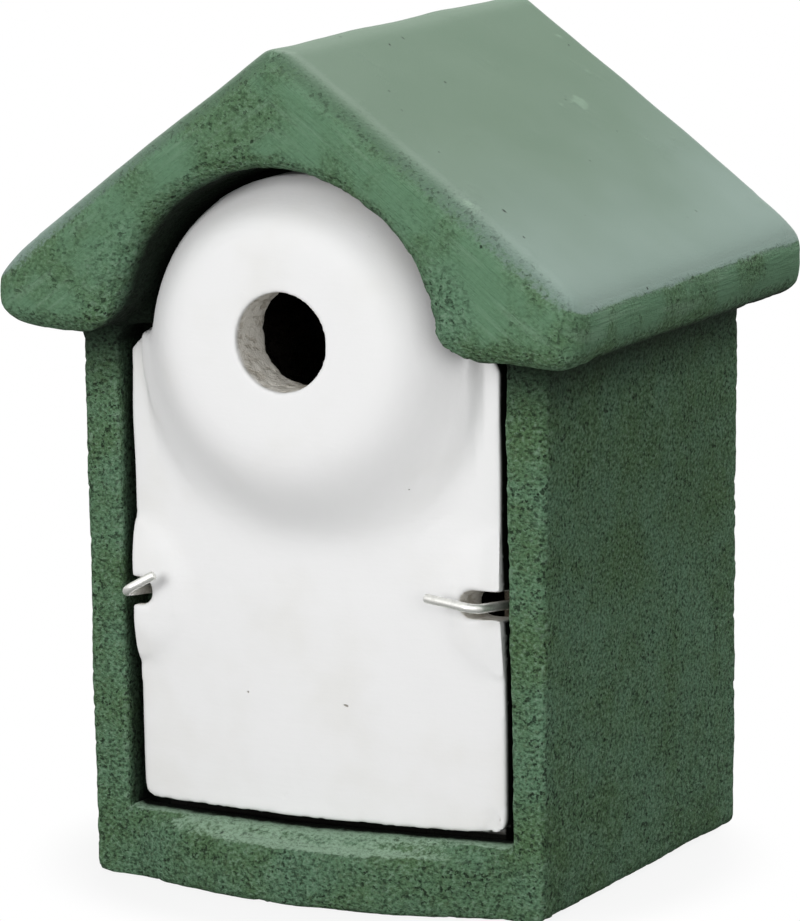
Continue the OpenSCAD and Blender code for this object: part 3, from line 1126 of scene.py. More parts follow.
@dataclass(frozen=True)
class Mould:
    """How the hand-struck mould departs from the drawing. The panel and its opening share it.

    Attributes:
        foot: Sideways shift of the opening at its foot, in metres.
        shoulder: Its sideways shift at the shoulders.
        low: Height of the foot.
        high: Height of the shoulders, and of the centre of the arch.
        swell: How far the arch bulges out at its upper left.
        narrow: How much further in each side of the opening stands at its foot.
        wall_share: Share of the sideways shift that the outer walls take.
        fade: How far above the shoulders the sideways shift runs out.
        bulge_at: Where on the arch the bulge is highest, in degrees above the left.
        bulge_to: How far round the bulge reaches from there, in degrees.
    """

    foot: float = 1.6 * MM
    shoulder: float = -1.1 * MM
    low: float = 21 * MM
    high: float = 182.6 * MM
    swell: float = 1.8 * MM
    narrow: float = 0.8 * MM
    wall_share: float = 0.3
    fade: float = 24 * MM
    bulge_at: float = 32
    bulge_to: float = 62

    def lean(self, places: np.ndarray) -> np.ndarray:
        """Measures how far the mould leans; above the shoulders that runs out.

        Args:
            places: Rows of x, y and z.

        Returns:
            The sideways shift at each place, in metres.
        """
        x, _, z = places.T
        share = np.clip((z - self.low) / (self.high - self.low), -0.13, 1.0)
        below_arch = smooth_step(self.high + self.fade, self.high, z)
        shift = (self.foot + (self.shoulder - self.foot) * share) * below_arch
        at_jamb = smooth_step(50 * MM, 62 * MM, np.abs(x))
        shift -= np.sign(x) * self.narrow * (1.0 - share) * at_jamb
        at_wall = smooth_step(72 * MM, 80 * MM, np.abs(x))
        return shift * (1.0 - (1.0 - self.wall_share) * at_wall)

    def bulge(self, places: np.ndarray) -> np.ndarray:
        """Measures how far the mould bulges around the arch.

        Args:
            places: Rows of x, y and z.

        Returns:
            The outward shift at each place, as rows.
        """
        x, _, z = places.T
        off = np.stack([x, np.zeros_like(x), z - self.high], axis=1)
        reach = np.maximum(np.linalg.norm(off, axis=1), 1 * MM)
        ring = smooth_step(30 * MM, 50 * MM, reach) * smooth_step(84 * MM, 64 * MM, reach)
        turn = np.degrees(np.arctan2(off[:, 2], -off[:, 0]))
        at_bulge = smooth_step(self.bulge_to, 0, np.abs(turn - self.bulge_at))
        return off / reach[:, None] * (self.swell * ring * at_bulge)[:, None]


def behind_panel(places: np.ndarray, bow: float = 5.6 * MM) -> np.ndarray:
    """Returns how far behind the panel's bowed front each place lies.

    Args:
        places: Rows of x, y and z.
        bow: How far the panel's middle bows forward of its side edges.

    Returns:
        One number in metres for each place.
    """
    across = places[:, 0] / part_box("front_panel")[1].x
    return places[:, 1] - Swivel.of("left_hook").at.y - bow * across ** 2


@dataclass
class BodyCasting:
    """The green body: walls, floor, sill and gable roof in one casting.

    Attributes:
        cell: Width of the cells that its mesh is rebuilt from.
        most: Most triangles that it may keep.
        eaves: Height of the level underside of the eaves.
        eaves_edge: Height of the eaves' upright edge.
        pitch: Angle of the roof's slopes, in degrees.
        brushed_at: Angle of the brush marks on the rake, in degrees.
        arch_z: Height of the centre of the arch over the panel.
        arch_r: Radius of that arch.
        arch_lift: How much higher the arch was cut above its middle and to the left.
        sill_top: Height of the sill.
        sag: How much lower the left slope was struck off at its eaves.
        crown: How far the right slope rounds up in its middle.
        cocked: How much higher the right slope stands at its eaves.
        eaves_out: How much further the right eaves were struck out.
        sill_rise: How far the sill rises towards the panel.
        flare: How much wider the walls grow close under the eaves.
        bore: Radius that is kept clear around each hook's wire.
        bore_end: Between which depths the bores' blind ends lie.
        jamb_shade: How dark the painted shade on the opening's side faces is.
        shaded: How dark the painted shade on the walls right under the eaves is.
        mould: The shape of its mould.
    """

    cell: float = 1.0 * MM
    most: int = 194_000
    eaves: float = 183.2 * MM
    eaves_edge: float = 21.9 * MM
    pitch: float = 36.8
    brushed_at: float = 37
    arch_z: float = 182.6 * MM
    arch_r: float = 56 * MM
    arch_lift: float = 1.7 * MM
    sill_top: float = 20.4 * MM
    sag: float = 1.2 * MM
    crown: float = 0.9 * MM
    cocked: float = 1.7 * MM
    eaves_out: float = 3.6 * MM
    sill_rise: float = 2.4 * MM
    flare: float = 1.5 * MM
    bore: float = 2.1 * MM
    bore_end: tuple[float, float] = (46 * MM, 54 * MM)
    jamb_shade: float = 0.66
    shaded: float = 0.85
    mould: Mould = Mould()

    def build(self) -> bpy.types.Object:
        """Builds the casting.

        Returns:
            The piece, with its masks.
        """
        piece = new_piece("body", to_mesh(merged_copy("body_casting"), "body"))
        remesh(piece, self.cell * (1))
        mesh = piece.data
        self.settle(mesh)
        ease(mesh, self.wear(places_of(mesh)))
        self.roughen(mesh)
        self.clear_bores(mesh)
        thin_out(piece, self.most)
        self.mark(piece.data)
        return piece

    def outside(self, places: np.ndarray) -> np.ndarray:
        """Tells the outside from the nest cavity and the space behind the panel.

        Args:
            places: Rows of x, y and z.

        Returns:
            1 for each place on the outside and 0 for the others.
        """
        x, y, z = places.T
        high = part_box("body_casting")[1]
        panel_low, panel_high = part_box("front_panel")
        across = np.abs(x) < panel_high.x + 1 * MM
        deep = (y > panel_high.y - 6 * MM) & (y < high.y - 20 * MM)
        under_roof = z < high.z - 18 * MM - np.abs(x) * 0.75
        inside = across & deep & (z > panel_low.z - 1 * MM) & under_roof
        return np.where(inside, 0.0, 1.0)

    def rim_distance(self, places: np.ndarray) -> np.ndarray:
        """Returns how far each place lies outside the arch over the panel."""
        return np.hypot(places[:, 0], places[:, 2] - self.arch_z) - self.arch_r

    def settle(self, mesh: bpy.types.Mesh) -> None:
        """Gives roof, walls, arch and sill the irregularities of a hand-struck mould.

        Args:
            mesh: The mesh.
        """
        places = places_of(mesh)
        x, _, z = places.T.copy()
        self.settle_roof(places, x, z)
        flare = smooth_step(self.eaves - 7 * MM, self.eaves, z) * (z < self.eaves + 1 * MM)
        at_wall = smooth_step(78 * MM, 82 * MM, np.abs(x)) * (np.abs(x) < 86 * MM)
        places[:, 0] += np.sign(x) * self.flare * flare * at_wall
        places[:, 0] += self.mould.lean(places)
        places += self.mould.bulge(places)
        self.lift_arch(places, x, z)
        self.lift_sill(places, x, z)
        place(mesh, places)

    def settle_roof(self, places: np.ndarray, x: np.ndarray, z: np.ndarray) -> None:
        """Gives the slopes their sag and crown, and draws out and rounds the ends of the eaves.

        Args:
            places: Rows of x, y and z, which are moved.
            x: Each place's x before any move.
            z: Each place's z before any move.
        """
        low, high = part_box("body_casting")
        height = smooth_step(self.eaves + 4 * MM, self.eaves + 24 * MM, z)
        places[:, 2] -= self.sag * height * smooth_step(0.0, 1.0, x / low.x)
        places[:, 2] += self.crown * height * np.sin(np.pi * np.clip(x / high.x, 0, 1))
        places[:, 2] += self.cocked * height * smooth_step(0.15, 0.95, x / high.x)
        out = np.where(x < 0, -0.25, 1.0) * self.eaves_out
        out = out * smooth_step(72 * MM, high.x, np.abs(x)) * (z > self.eaves - 1 * MM)
        places[:, 0] += out
        on_top = smooth_step(self.eaves + 6 * MM, self.eaves + 22 * MM, z)
        places[:, 2] -= np.abs(out) * (0.35 + 0.38 * on_top)
        places[:, 2] += self.nose(x, z)

    def lift_arch(self, places: np.ndarray, x: np.ndarray, z: np.ndarray) -> None:
        """Raises the arch's rim above its middle and to the left.

        Args:
            places: Rows of x, y and z, which are moved.
            x: Each place's x before any move.
            z: Each place's z before any move.
        """
        at_rim = smooth_step(16 * MM, 3 * MM, np.abs(self.rim_distance(places)))
        near = at_rim * smooth_step(-56 * MM, -70 * MM, places[:, 1])
        near = near * smooth_step(self.arch_z + 12 * MM, self.arch_z + 40 * MM, z)
        places[:, 2] += self.arch_lift * near * smooth_step(30 * MM, -10 * MM, x)

    def lift_sill(self, places: np.ndarray, x: np.ndarray, z: np.ndarray) -> None:
        """Raises the sill towards the panel, a little more at the right.

        Args:
            places: Rows of x, y and z, which are moved.
            x: Each place's x before any move.
            z: Each place's z before any move.
        """
        level = (np.abs(z - self.sill_top) < 2 * MM) * (np.abs(x) < 71 * MM)
        sill = level * (places[:, 1] < -48 * MM)
        behind = behind_panel(places)
        upward = self.sill_rise + 0.9 * MM * smooth_step(-60 * MM, 60 * MM, x)
        slope = smooth_step(-8 * MM, 0.0, behind) * smooth_step(8.4 * MM, 7.6 * MM, behind)
        places[:, 2] += upward * sill * slope

    def nose(self, x: np.ndarray, z: np.ndarray) -> np.ndarray:
        """Rounds the ends of the eaves, down from above and up from below.

        Args:
            x: Each place's x.
            z: Each place's z.

        Returns:
            The upward shift at each place, in metres.
        """
        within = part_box("body_casting")[1].x - np.abs(x)
        top = self.eaves + self.eaves_edge + within * math.tan(math.radians(self.pitch))
        share = np.clip((z - self.eaves) / (top - self.eaves), 0.0, 1.0)
        left = x < 0
        above = 4.5 * MM * np.clip(1.0 - within / (10 * MM), 0.0, 1.0) ** 2
        below = 6.0 * MM * np.clip(1.0 - within / (9 * MM), 0.0, 1.0) ** 2
        below = below + 1.5 * MM * np.clip(1.0 - within / (20 * MM), 0.0, 1.0)
        below = below * np.where(left, 1.0, 0.1)
        above = above * np.where(left, 0.8, 0.4)
        return (below * (1.0 - share) - above * share) * (z > self.eaves - 1 * MM)

    def wear(self, places: np.ndarray) -> np.ndarray:
        """Shares out the smoothing rounds: more on rims, edges and inside corners.

        Args:
            places: Rows of x, y and z.

        Returns:
            The rounds for each place.
        """
        x, y, z = places.T
        width = np.abs(x)
        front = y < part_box("front_panel")[1].y - 26 * MM
        sill = (z < self.sill_top + 5 * MM) & (z > self.sill_top - 8 * MM) & front
        rim = (np.abs(self.rim_distance(places)) < 12 * MM) & (z > self.eaves - 8 * MM) & front
        rounds = np.where(self.outside(places) > 0.5, 4, 1)
        rounds[sill] = 18
        rounds[rim] = 10
        rounds[(z > self.eaves - 1 * MM) & (width > 88 * MM)] = 24
        rounds[(np.abs(z - self.eaves) < 7 * MM) & (width > 76 * MM) & (width < 92 * MM)] = 22
        return rounds

    def faces(self, places: np.ndarray, normals: np.ndarray) -> dict[Mark, np.ndarray]:
        """Sorts the outside into trowelled tops, brushed edges and rubble; the rest is as moulded.

        Args:
            places: Rows of x, y and z.
            normals: Their normals.

        Returns:
            The masks.
        """
        z = places[:, 2]
        roof = smooth_step(self.eaves - 1 * MM, self.eaves + 6 * MM, z)
        forward = smooth_step(0.2, 0.8, -normals[:, 1])
        top = smooth_step(0.14, 0.5, normals[:, 2]) * (1.0 - 0.5 * forward) * roof
        sill = smooth_step(0.6, 0.95, normals[:, 2]) * (z < self.sill_top + 6 * MM)
        return {
            Mark.TROWELLED: np.maximum(top, 0.55 * sill),
            Mark.BRUSHED: smooth_step(-0.6, -0.2, normals[:, 2]) * roof * (1.0 - top),
            Mark.RUBBLE: self.rubble(places),
        }

    def rubble(self, places: np.ndarray) -> np.ndarray:
        """Marks the broken surface: around the arch, most at its feet, and along the sill's brow.

        Args:
            places: Rows of x, y and z.

        Returns:
            One number from 0 to 1 for each place.
        """
        _, y, z = places.T
        rim = self.rim_distance(places)
        front = y < -60 * MM
        around = smooth_step(9 * MM, 1 * MM, np.abs(rim)) * 0.45
        low = smooth_step(self.eaves + 62 * MM, self.eaves + 12 * MM, z)
        feet = smooth_step(24 * MM, 6 * MM, rim) * low
        brow = smooth_step(6 * MM, 2 * MM, np.abs(z - self.sill_top)) * 0.5
        arch = np.maximum(around, feet) * (z > self.eaves - 6 * MM)
        return np.where(front, np.maximum(arch, brow), 0.0)

    def roughen(self, mesh: bpy.types.Mesh) -> None:
        """Gives the outside its lumps, drag marks and larger air holes.

        Args:
            mesh: The mesh.
        """
        places, normals = places_of(mesh), normals_of(mesh)
        shown = np.flatnonzero(self.outside(places) > 0.5)
        at, facing = places[shown], normals[shown]
        faces = self.faces(at, facing)
        top, edge, rubble = (faces[mark] for mark in (Mark.TROWELLED, Mark.BRUSHED, Mark.RUBBLE))
        porous = np.clip(np.maximum(1.0 - top - 0.8 * edge, rubble), 0.0, 1.0)

        waves = Lumps(46 * MM, 0.55 * MM, 2, seed=3.1)
        swells = Lumps(10 * MM, 0.16 * MM, 2, seed=7.7)
        grains = Lumps(2.4 * MM, 0.16 * MM, 2, (1.5, 1.5, 1.0), 1.9)
        gaps = Bites(Lumps(3.4 * MM, 1.0, 3, (1.4, 1.4, 1.0), 5.5), -0.28, 0.30 * MM)
        height = waves.at(at)
        height += swells.at(at) * (0.4 + porous)
        height += grains.at(at) * (0.08 + 0.92 * porous)
        height -= gaps.at(at) * porous
        height -= Pits(12 * MM, 1.4 * MM, 0.9 * MM, 0.22, seed=5.0).at(at) * (0.12 + 0.88 * porous)
        height += rubble * Lumps(3.6 * MM, 0.65 * MM, 3, seed=2.2).at(at)
        height += edge * self.strokes(at)
        places[shown] += normals[shown] * height[:, None]
        places[:, 2] = np.maximum(places[:, 2], 0.0)
        place(mesh, places)

    def strokes(self, places: np.ndarray) -> np.ndarray:
        """Raises the brush marks on the roof's edges: along the rake in front, level at the eaves.

        Args:
            places: Rows of x, y and z.

        Returns:
            The height at each place, in metres.
        """
        x, y, z = places.T
        pitch = math.radians(self.brushed_at)
        side = np.where(x < 0, -1.0, 1.0)
        along = x * side * math.cos(pitch) - z * math.sin(pitch)
        across = x * side * math.sin(pitch) + z * math.cos(pitch)
        turned = np.stack([along * side, y, across], axis=1)
        return Lumps(2.2 * MM, 0.14 * MM, 2, (9.0, 9.0, 1.0), 4.6).at(turned)

    def clear_bores(self, mesh: bpy.types.Mesh) -> None:
        """Keeps the bores of the hooks' wires open, and a little deeper than the wires.

        Args:
            mesh: The mesh.
        """
        places = places_of(mesh)
        for body in HOOKS:
            swivel = Swivel.of(body)
            along, off = swivel.distances(places)
            reach = np.linalg.norm(off, axis=1)
            tight = (reach < self.bore) & (reach > 0.05 * MM) & (along > 0) & (along < 52 * MM)
            places[tight] += off[tight] * (self.bore / reach[tight] - 1.0)[:, None]
            start, stop = self.bore_end
            end = (reach < self.bore + 1 * MM) & (along > start) & (along < stop)
            places[end] += 0.8 * MM * np.array(swivel.back)
        place(mesh, places)

    def soiled(self, places: np.ndarray, normals: np.ndarray) -> np.ndarray:
        """Marks the painted shade: the dark insides of the opening and arch, and the walls close under the eaves.

        Args:
            places: Rows of x, y and z.
            normals: Their normals.

        Returns:
            One number from 0 to 1 for each place.
        """
        x, y, z = places.T
        width, behind = np.abs(x), behind_panel(places)
        beside = (width > 62 * MM) & (width < 76 * MM)
        jambs = beside & (z < self.eaves + 2 * MM) & (z > self.sill_top)
        facing = smooth_step(0.15, 0.6, -normals[:, 0] * np.sign(x))
        jambs = self.jamb_shade * jambs * facing * smooth_step(-3.4 * MM, 0.6 * MM, behind)
        sill = (z < self.sill_top + 6 * MM) * (width < 72 * MM)
        sill = sill * smooth_step(0.5 * MM, 2.5 * MM, behind)
        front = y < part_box("front_panel")[1].y
        opening = np.maximum.reduce([jambs, sill, self.arch_shade(places, normals)]) * front
        below = self.eaves - z
        wall = smooth_step(27 * MM, 2 * MM, below) * smooth_step(-4.5 * MM, -0.5 * MM, below)
        return np.maximum(opening, self.shaded * wall * (y > -70 * MM))

    def arch_shade(self, places: np.ndarray, normals: np.ndarray) -> np.ndarray:
        """Marks the painted shade inside the arch, from its rounded rim inwards.

        Args:
            places: Rows of x, y and z.
            normals: Their normals.

        Returns:
            One number from 0 to 1 for each place.
        """
        x, y, z = places.T
        width, rise = np.abs(x), z - self.arch_z
        inward = -(normals[:, 0] * x + normals[:, 2] * rise) / np.maximum(np.hypot(x, rise), MM)
        down = smooth_step(0.2, 0.6, -normals[:, 2]) * (width < 72 * MM)
        within = (y > -74 * MM) * (width < 70 * MM)
        hidden = np.maximum.reduce([smooth_step(0.0, 0.9, inward), down, within])
        near = (self.rim_distance(places) < 18 * MM) * (z > self.eaves - 6 * MM)
        return 0.94 * near * hidden * smooth_step(-90 * MM, -79 * MM, y)

    def mark(self, mesh: bpy.types.Mesh) -> None:
        """Writes the masks that the paint reads.

        Args:
            mesh: The mesh.
        """
        places, normals = places_of(mesh), normals_of(mesh)
        shown = self.outside(places)
        mark_relief(mesh, 0.28 * MM)
        for mark, values in self.faces(places, normals).items():
            write_mark(mesh, mark, values * shown)
        # Painted shade inside the opening and arch, on the sill behind the panel and close under the eaves.
        write_mark(mesh, Mark.SOILED, self.soiled(places, normals))
        write_mark(mesh, Mark.RAW, 1.0 - shown)


@dataclass
class FrontPanel:
    """The white lift-out panel with its raised boss and entrance hole.

    Attributes:
        cell: Width of the cells that its mesh is rebuilt from.
        most: Most triangles that it may keep.
        notch: Half the height of the notches for the hooks.
        pad: Reach of the soft pads around the hooks.
        pad_h: How far the pads stand forward of the panel's side edges.
        shoulder: Half width and height, added, at which the left shoulder is cut off.
        foot: Height of its lower edge over the floor inside.
        foot_rise: How much higher its lower edge was cut at the right.
        inset: How much further in its right edge stands, higher up.
        mould: The shape of its mould.
    """

    cell: float = 0.9 * MM
    most: int = 150_000
    notch: float = 4.5 * MM
    pad: float = 33 * MM
    pad_h: float = 4.2 * MM
    shoulder: float = 240.6 * MM
    foot: float = 5.4 * MM
    foot_rise: float = 1.0 * MM
    inset: float = 0.9 * MM
    mould: Mould = Mould()

    def build(self) -> bpy.types.Object:
        """Builds the panel.

        Returns:
            The piece, with its masks.
        """
        piece = new_piece("panel", to_mesh(merged_copy("front_panel"), "panel"))
        remesh(piece, self.cell * (1))
        mesh = piece.data
        self.settle(mesh)
        ease(mesh, self.wear(places_of(mesh)))
        self.roughen(mesh)
        thin_out(piece, self.most)
        self.mark(piece.data)
        return piece

    def depth_in_hole(self, places: np.ndarray) -> tuple[np.ndarray, np.ndarray]:
        """Measures places against the entrance hole.

        Args:
            places: Rows of x, y and z.

        Returns:
            How far behind the boss's face each place lies, and how far outside the hole's wall.
        """
        hole = Bore.named("entrance_hole")
        behind = places[:, 1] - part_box("front_panel")[0].y
        reach = np.hypot(places[:, 0] - hole.centre.x, places[:, 2] - hole.centre.z)
        return behind, reach - hole.radius

    def near_hook(self, places: np.ndarray) -> tuple[np.ndarray, np.ndarray]:
        """Measures places against the nearer hook's axis.

        Args:
            places: Rows of x, y and z.

        Returns:
            How far above or below it each place lies, and how far from it in all.
        """
        above, away = np.full(len(places), 1.0), np.full(len(places), 1.0)
        for body in HOOKS:
            swivel = Swivel.of(body)
            off = swivel.distances(places)[1]
            side = places[:, 0] * swivel.at.x > 0
            above[side] = np.abs(off[side, 2])
            away[side] = np.linalg.norm(off[side], axis=1)
        return above, away

    def wear(self, places: np.ndarray) -> np.ndarray:
        """Shares out the smoothing rounds: most on boss and pads, few at edges, hole and notches.

        Args:
            places: Rows of x, y and z.

        Returns:
            The rounds for each place.
        """
        x, _, z = places.T
        _, off = self.depth_in_hole(places)
        above, away = self.near_hook(places)
        forward = behind_panel(places) < 1.2 * MM
        rounds = np.full(len(places), 4)
        rounds[forward & (z > 100 * MM)] = 120
        rounds[forward & (away < self.pad)] = 60
        for start, most in ((57, 60), (60, 24), (62.5, 8), (64.5, 3)):
            edge = (np.abs(x) > start * MM) & (z < 190 * MM)
            rounds[edge] = np.minimum(rounds[edge], most)
        rounds[(above < self.notch + 2.0 * MM) & (np.abs(x) > 50 * MM)] = 4
        rounds[np.abs(off) < 7 * MM] = 5
        rounds[np.abs(off) < 2.5 * MM] = 2
        return rounds

    def settle(self, mesh: bpy.types.Mesh) -> None:
        """Softens the pads, cuts the left shoulder, trims the foot and fits the opening.

        Args:
            mesh: The mesh.
        """
        places = places_of(mesh)
        x, _, z = places.T.copy()
        low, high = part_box("front_panel")
        _, away = self.near_hook(places)
        at_right = smooth_step(52 * MM, 66 * MM, x)
        proud = self.pad_h * smooth_step(self.pad, 4 * MM, away) * (1.0 - 0.6 * at_right)
        forward = -behind_panel(places)
        on_pad = (away < self.pad) & (forward > -1 * MM) & (z < 135 * MM)
        places[:, 1] += np.where(on_pad, np.maximum(forward - proud, 0.0), 0.0)

        upper_left = smooth_step(150 * MM, 176 * MM, z) * smooth_step(-58 * MM, -62 * MM, x)
        places[:, 0] += 1.0 * MM * upper_left
        past = np.maximum(z - places[:, 0] - self.shoulder, 0.0) * (z > 168 * MM) * (x < -54 * MM)
        places[:, 0] += past / 2
        places[:, 2] -= past / 2
        lift = self.foot_rise * (x - low.x) / (high.x - low.x) * smooth_step(52 * MM, 30 * MM, z)
        places[:, 2] += lift * smooth_step(self.foot - 0.8 * MM, self.foot, z - low.z)
        right_edge = smooth_step(58 * MM, 66 * MM, x) * smooth_step(50 * MM, 130 * MM, z)
        places[:, 0] -= self.inset * right_edge

        at_edges = smooth_step(48 * MM, 60 * MM, np.abs(x))
        follows = np.maximum(smooth_step(166 * MM, 130 * MM, z), at_edges)
        places[:, 0] += self.mould.lean(places) * follows
        places += self.mould.bulge(places)
        place(mesh, places)

    def roughen(self, mesh: bpy.types.Mesh) -> None:
        """Gives the panel a faint wave, a few air holes, a raw hole wall and its ragged inner rim.

        Args:
            mesh: The mesh.
        """
        places, normals = places_of(mesh), normals_of(mesh)
        behind, off = self.depth_in_hole(places)
        length = Bore.named("entrance_hole").length
        wall = smooth_step(3 * MM, 1 * MM, np.abs(off)) * smooth_step(1 * MM, 4 * MM, behind)
        wall *= behind < length + 2 * MM
        height = Lumps(38 * MM, 0.35 * MM, 2, seed=4.4).at(places)
        height += Lumps(3 * MM, 0.035 * MM, 2, seed=8.8).at(places)
        height += wall * Lumps(3.4 * MM, 0.35 * MM, 3, seed=6.1).at(places)
        height -= Pits(21 * MM, 0.9 * MM, 0.4 * MM, 0.14, seed=9.0).at(places)
        chips = Bites(Lumps(3.5 * MM, 1.0, 2, seed=3.3), 0.0, 0.8 * MM).at(places)
        height -= self.chipped(places) * chips
        places += normals * height[:, None]
        inner = smooth_step(5 * MM, 1 * MM, np.abs(behind - length))
        inner *= smooth_step(6 * MM, 1 * MM, np.abs(off))
        places[:, 1] += inner * Lumps(7 * MM, 1.8 * MM, 3, seed=1.3).at(places)
        place(mesh, places)

    def chipped(self, places: np.ndarray) -> np.ndarray:
        """Marks where the panel is knocked: at its lower right corner and along its lower edge.

        Args:
            places: Rows of x, y and z.

        Returns:
            One number from 0 to 1 for each place.
        """
        x, _, z = places.T
        low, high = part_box("front_panel")
        corner = smooth_step(12 * MM, 3 * MM, np.hypot(x - high.x, z - low.z - 6 * MM))
        edge = smooth_step(4 * MM, 1 * MM, np.abs(z - low.z - 4 * MM)) * 0.35
        return np.maximum(corner, edge)

    def mark(self, mesh: bpy.types.Mesh) -> None:
        """Writes the masks that the paint reads.

        Args:
            mesh: The mesh.
        """
        places, normals = places_of(mesh), normals_of(mesh)
        behind, off = self.depth_in_hole(places)
        above, _ = self.near_hook(places)
        width, height = np.abs(places[:, 0]), places[:, 2]
        mark_relief(mesh, 0.35 * MM)
        in_hole = smooth_step(1.6 * MM, 0.4 * MM, off) * smooth_step(0.8 * MM, 3.0 * MM, behind)
        back = smooth_step(0.1, 0.6, normals[:, 1])
        in_notch = smooth_step(self.notch + 0.8 * MM, self.notch - 0.4 * MM, above)
        in_notch *= smooth_step(-0.75, -0.2, normals[:, 1]) * (width > 48 * MM)
        foot = smooth_step(self.foot, self.foot - 1 * MM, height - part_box("front_panel")[0].z)
        write_mark(mesh, Mark.RAW, np.maximum.reduce([in_hole, back, in_notch, foot]))
        # Painted shade: near black on the side edges in the gaps, the undersides low down and the foot.
        gap = smooth_step(0.55, 0.85, np.abs(normals[:, 0])) * (width > 62 * MM)
        below = smooth_step(-0.55, -0.85, normals[:, 2]) * (height < 40 * MM)
        at_edge = smooth_step(0.8 * MM, 2.0 * MM, behind_panel(places))
        write_mark(mesh, Mark.SOILED, np.maximum(np.maximum(gap, below) * at_edge, foot))


# ---- Metal ---------------------------------------------------------------------------------


@dataclass
class WireHook:
    """One bent wire hook: a shank in the casting, a tight bend and an arm across the panel.

    Attributes:
        side: Which side it stands on.
        reach: How far its bend stands forward of the panel's face.
        arm: Length of its arm.
        rise: Angle of the arm above the level, in degrees.
        wire: Diameter of the wire.
        bend: Radius of the bend, on the wire's centre line.
        lean: How far the arm leans back towards the panel, in degrees.
        end: How far behind the panel's face the shank ends.
        sides: Sides of the wire.
        burr: Width of the broken edge at the wire's cut end.
    """

    side: Side
    reach: float
    arm: float
    rise: float
    wire: float = 3 * MM
    bend: float = 3.5 * MM
    lean: float = 12.0
    end: float = 49.6 * MM
    sides: int = 24
    burr: float = 0.45 * MM

    @property
    def body(self) -> str:
        """The CAD body that the hook is."""
        return f"{self.side.name.lower()}_hook"

    @property
    def node(self) -> str:
        """The CAD node that the hook stands for."""
        return f"hook_{self.side.name.lower()}"

    def build(self) -> bpy.types.Object:
        """Builds the hook, bent from a circle that is drawn out, spun and drawn out again.

        Returns:
            The piece.
        """
        swivel = Swivel.of(self.body)
        inward = -self.side.value
        lean = math.radians(self.lean)
        bm = bmesh.new()
        made = bmesh.ops.create_circle(bm, cap_ends=True, segments=self.sides, radius=self.wire / 2)
        upright = Matrix.Rotation(-math.pi / 2, 4, "X")
        bmesh.ops.transform(bm, matrix=Matrix.Translation((0, self.end, 0)) @ upright,
                            verts=made["verts"])
        tip = bm.faces[:][0]
        shank = self.end + self.reach - self.bend
        tip = self.draw_out(bm, tip, Vector((0, -shank, 0)), 16)
        spun = bmesh.ops.spin(bm, geom=[tip, *tip.edges, *tip.verts],
                              cent=(inward * self.bend, self.bend - self.reach, 0), axis=(0, 0, 1),
                              angle=inward * math.radians(90 + self.lean), steps=16,
                              use_merge=False)
        tip = next(item for item in spun["geom_last"] if isinstance(item, bmesh.types.BMFace))
        arm = Vector((inward * math.cos(lean), math.sin(lean), 0)) * self.arm
        tip = self.draw_out(bm, tip, arm, 6)
        bmesh.ops.bevel(bm, geom=list(tip.edges), offset=self.burr, segments=3, profile=0.5,
                        affect="EDGES", material=-1)
        tilt = Vector((0, 1, 0)).rotation_difference(swivel.back).to_matrix().to_4x4()
        turn = Matrix.Rotation(self.side.value * math.radians(self.rise), 4, "Y")
        bmesh.ops.transform(bm, matrix=Matrix.Translation(swivel.at) @ tilt @ turn, verts=bm.verts)
        bmesh.ops.recalc_face_normals(bm, faces=bm.faces)
        return new_piece(f"wire_{self.body}", to_mesh(bm, f"wire_{self.body}"))

    def draw_out(self, bm: bmesh.types.BMesh, tip: bmesh.types.BMFace, way: Vector,
                 steps: int) -> bmesh.types.BMFace:
        """Draws the wire's end out along a straight way.

        Args:
            bm: The wire so far.
            tip: The face at its end.
            way: How far and in which direction.
            steps: In how many steps.

        Returns:
            The face at the new end.
        """
        for _ in range(steps):
            drawn = bmesh.ops.extrude_face_region(bm, geom=[tip])
            bmesh.ops.delete(bm, geom=[tip], context="FACES_ONLY")
            tip = next(item for item in drawn["geom"] if isinstance(item, bmesh.types.BMFace))
            bmesh.ops.translate(bm, vec=way / steps, verts=tip.verts)
        return tip


@dataclass
class Fitting:
    """A small metal fitting that keeps its CAD shape, with its sharp edges broken.

    Attributes:
        node: The CAD node.
        name: The piece's name.
        edge: Width of the broken edges.
        sharp: Angle from which an edge counts as sharp, in degrees.
    """

    node: str
    name: str
    edge: float
    sharp: float = 40

    def build(self) -> bpy.types.Object:
        """Builds the fitting.

        Returns:
            The piece.
        """
        bm = merged_copy(self.node)
        bmesh.ops.dissolve_limit(bm, angle_limit=math.radians(1.0), verts=bm.verts, edges=bm.edges)
        least = math.radians(self.sharp)
        sharp = [e for e in bm.edges if e.is_manifold and e.calc_face_angle() > least]
        bmesh.ops.bevel(bm, geom=sharp, offset=self.edge, segments=2, profile=0.5, affect="EDGES",
                        material=-1, clamp_overlap=True)
        bmesh.ops.triangulate(bm, faces=bm.faces)
        piece = new_piece(self.name, to_mesh(bm, self.name))
        piece.data.set_sharp_from_angle(angle=math.radians(35))
        return piece


# ---- Stage ---------------------------------------------------------------------------------


@dataclass(frozen=True)
class Lamp:
    """A square soft lamp.

    Attributes:
        name: Its name.
        at: Where it hangs.
        size: Width of its face, in metres.
        power: Its power, in watts.
    """

    name: str
    at: Triple
    size: float
    power: float

    def hang(self, aim: Vector) -> None:
        """Hangs the lamp so that it faces the aim.

        Args:
            aim: The point that it faces.
        """
        data = bpy.data.lights.new(self.name, "AREA")
        data.size = self.size
        data.energy = self.power
        lamp = bpy.data.objects.new(self.name, data)
        bpy.context.scene.collection.objects.link(lamp)
        lamp.location = self.at
        lamp.rotation_mode = "QUATERNION"
        lamp.rotation_quaternion = (aim - Vector(self.at)).to_track_quat("-Z", "Y")


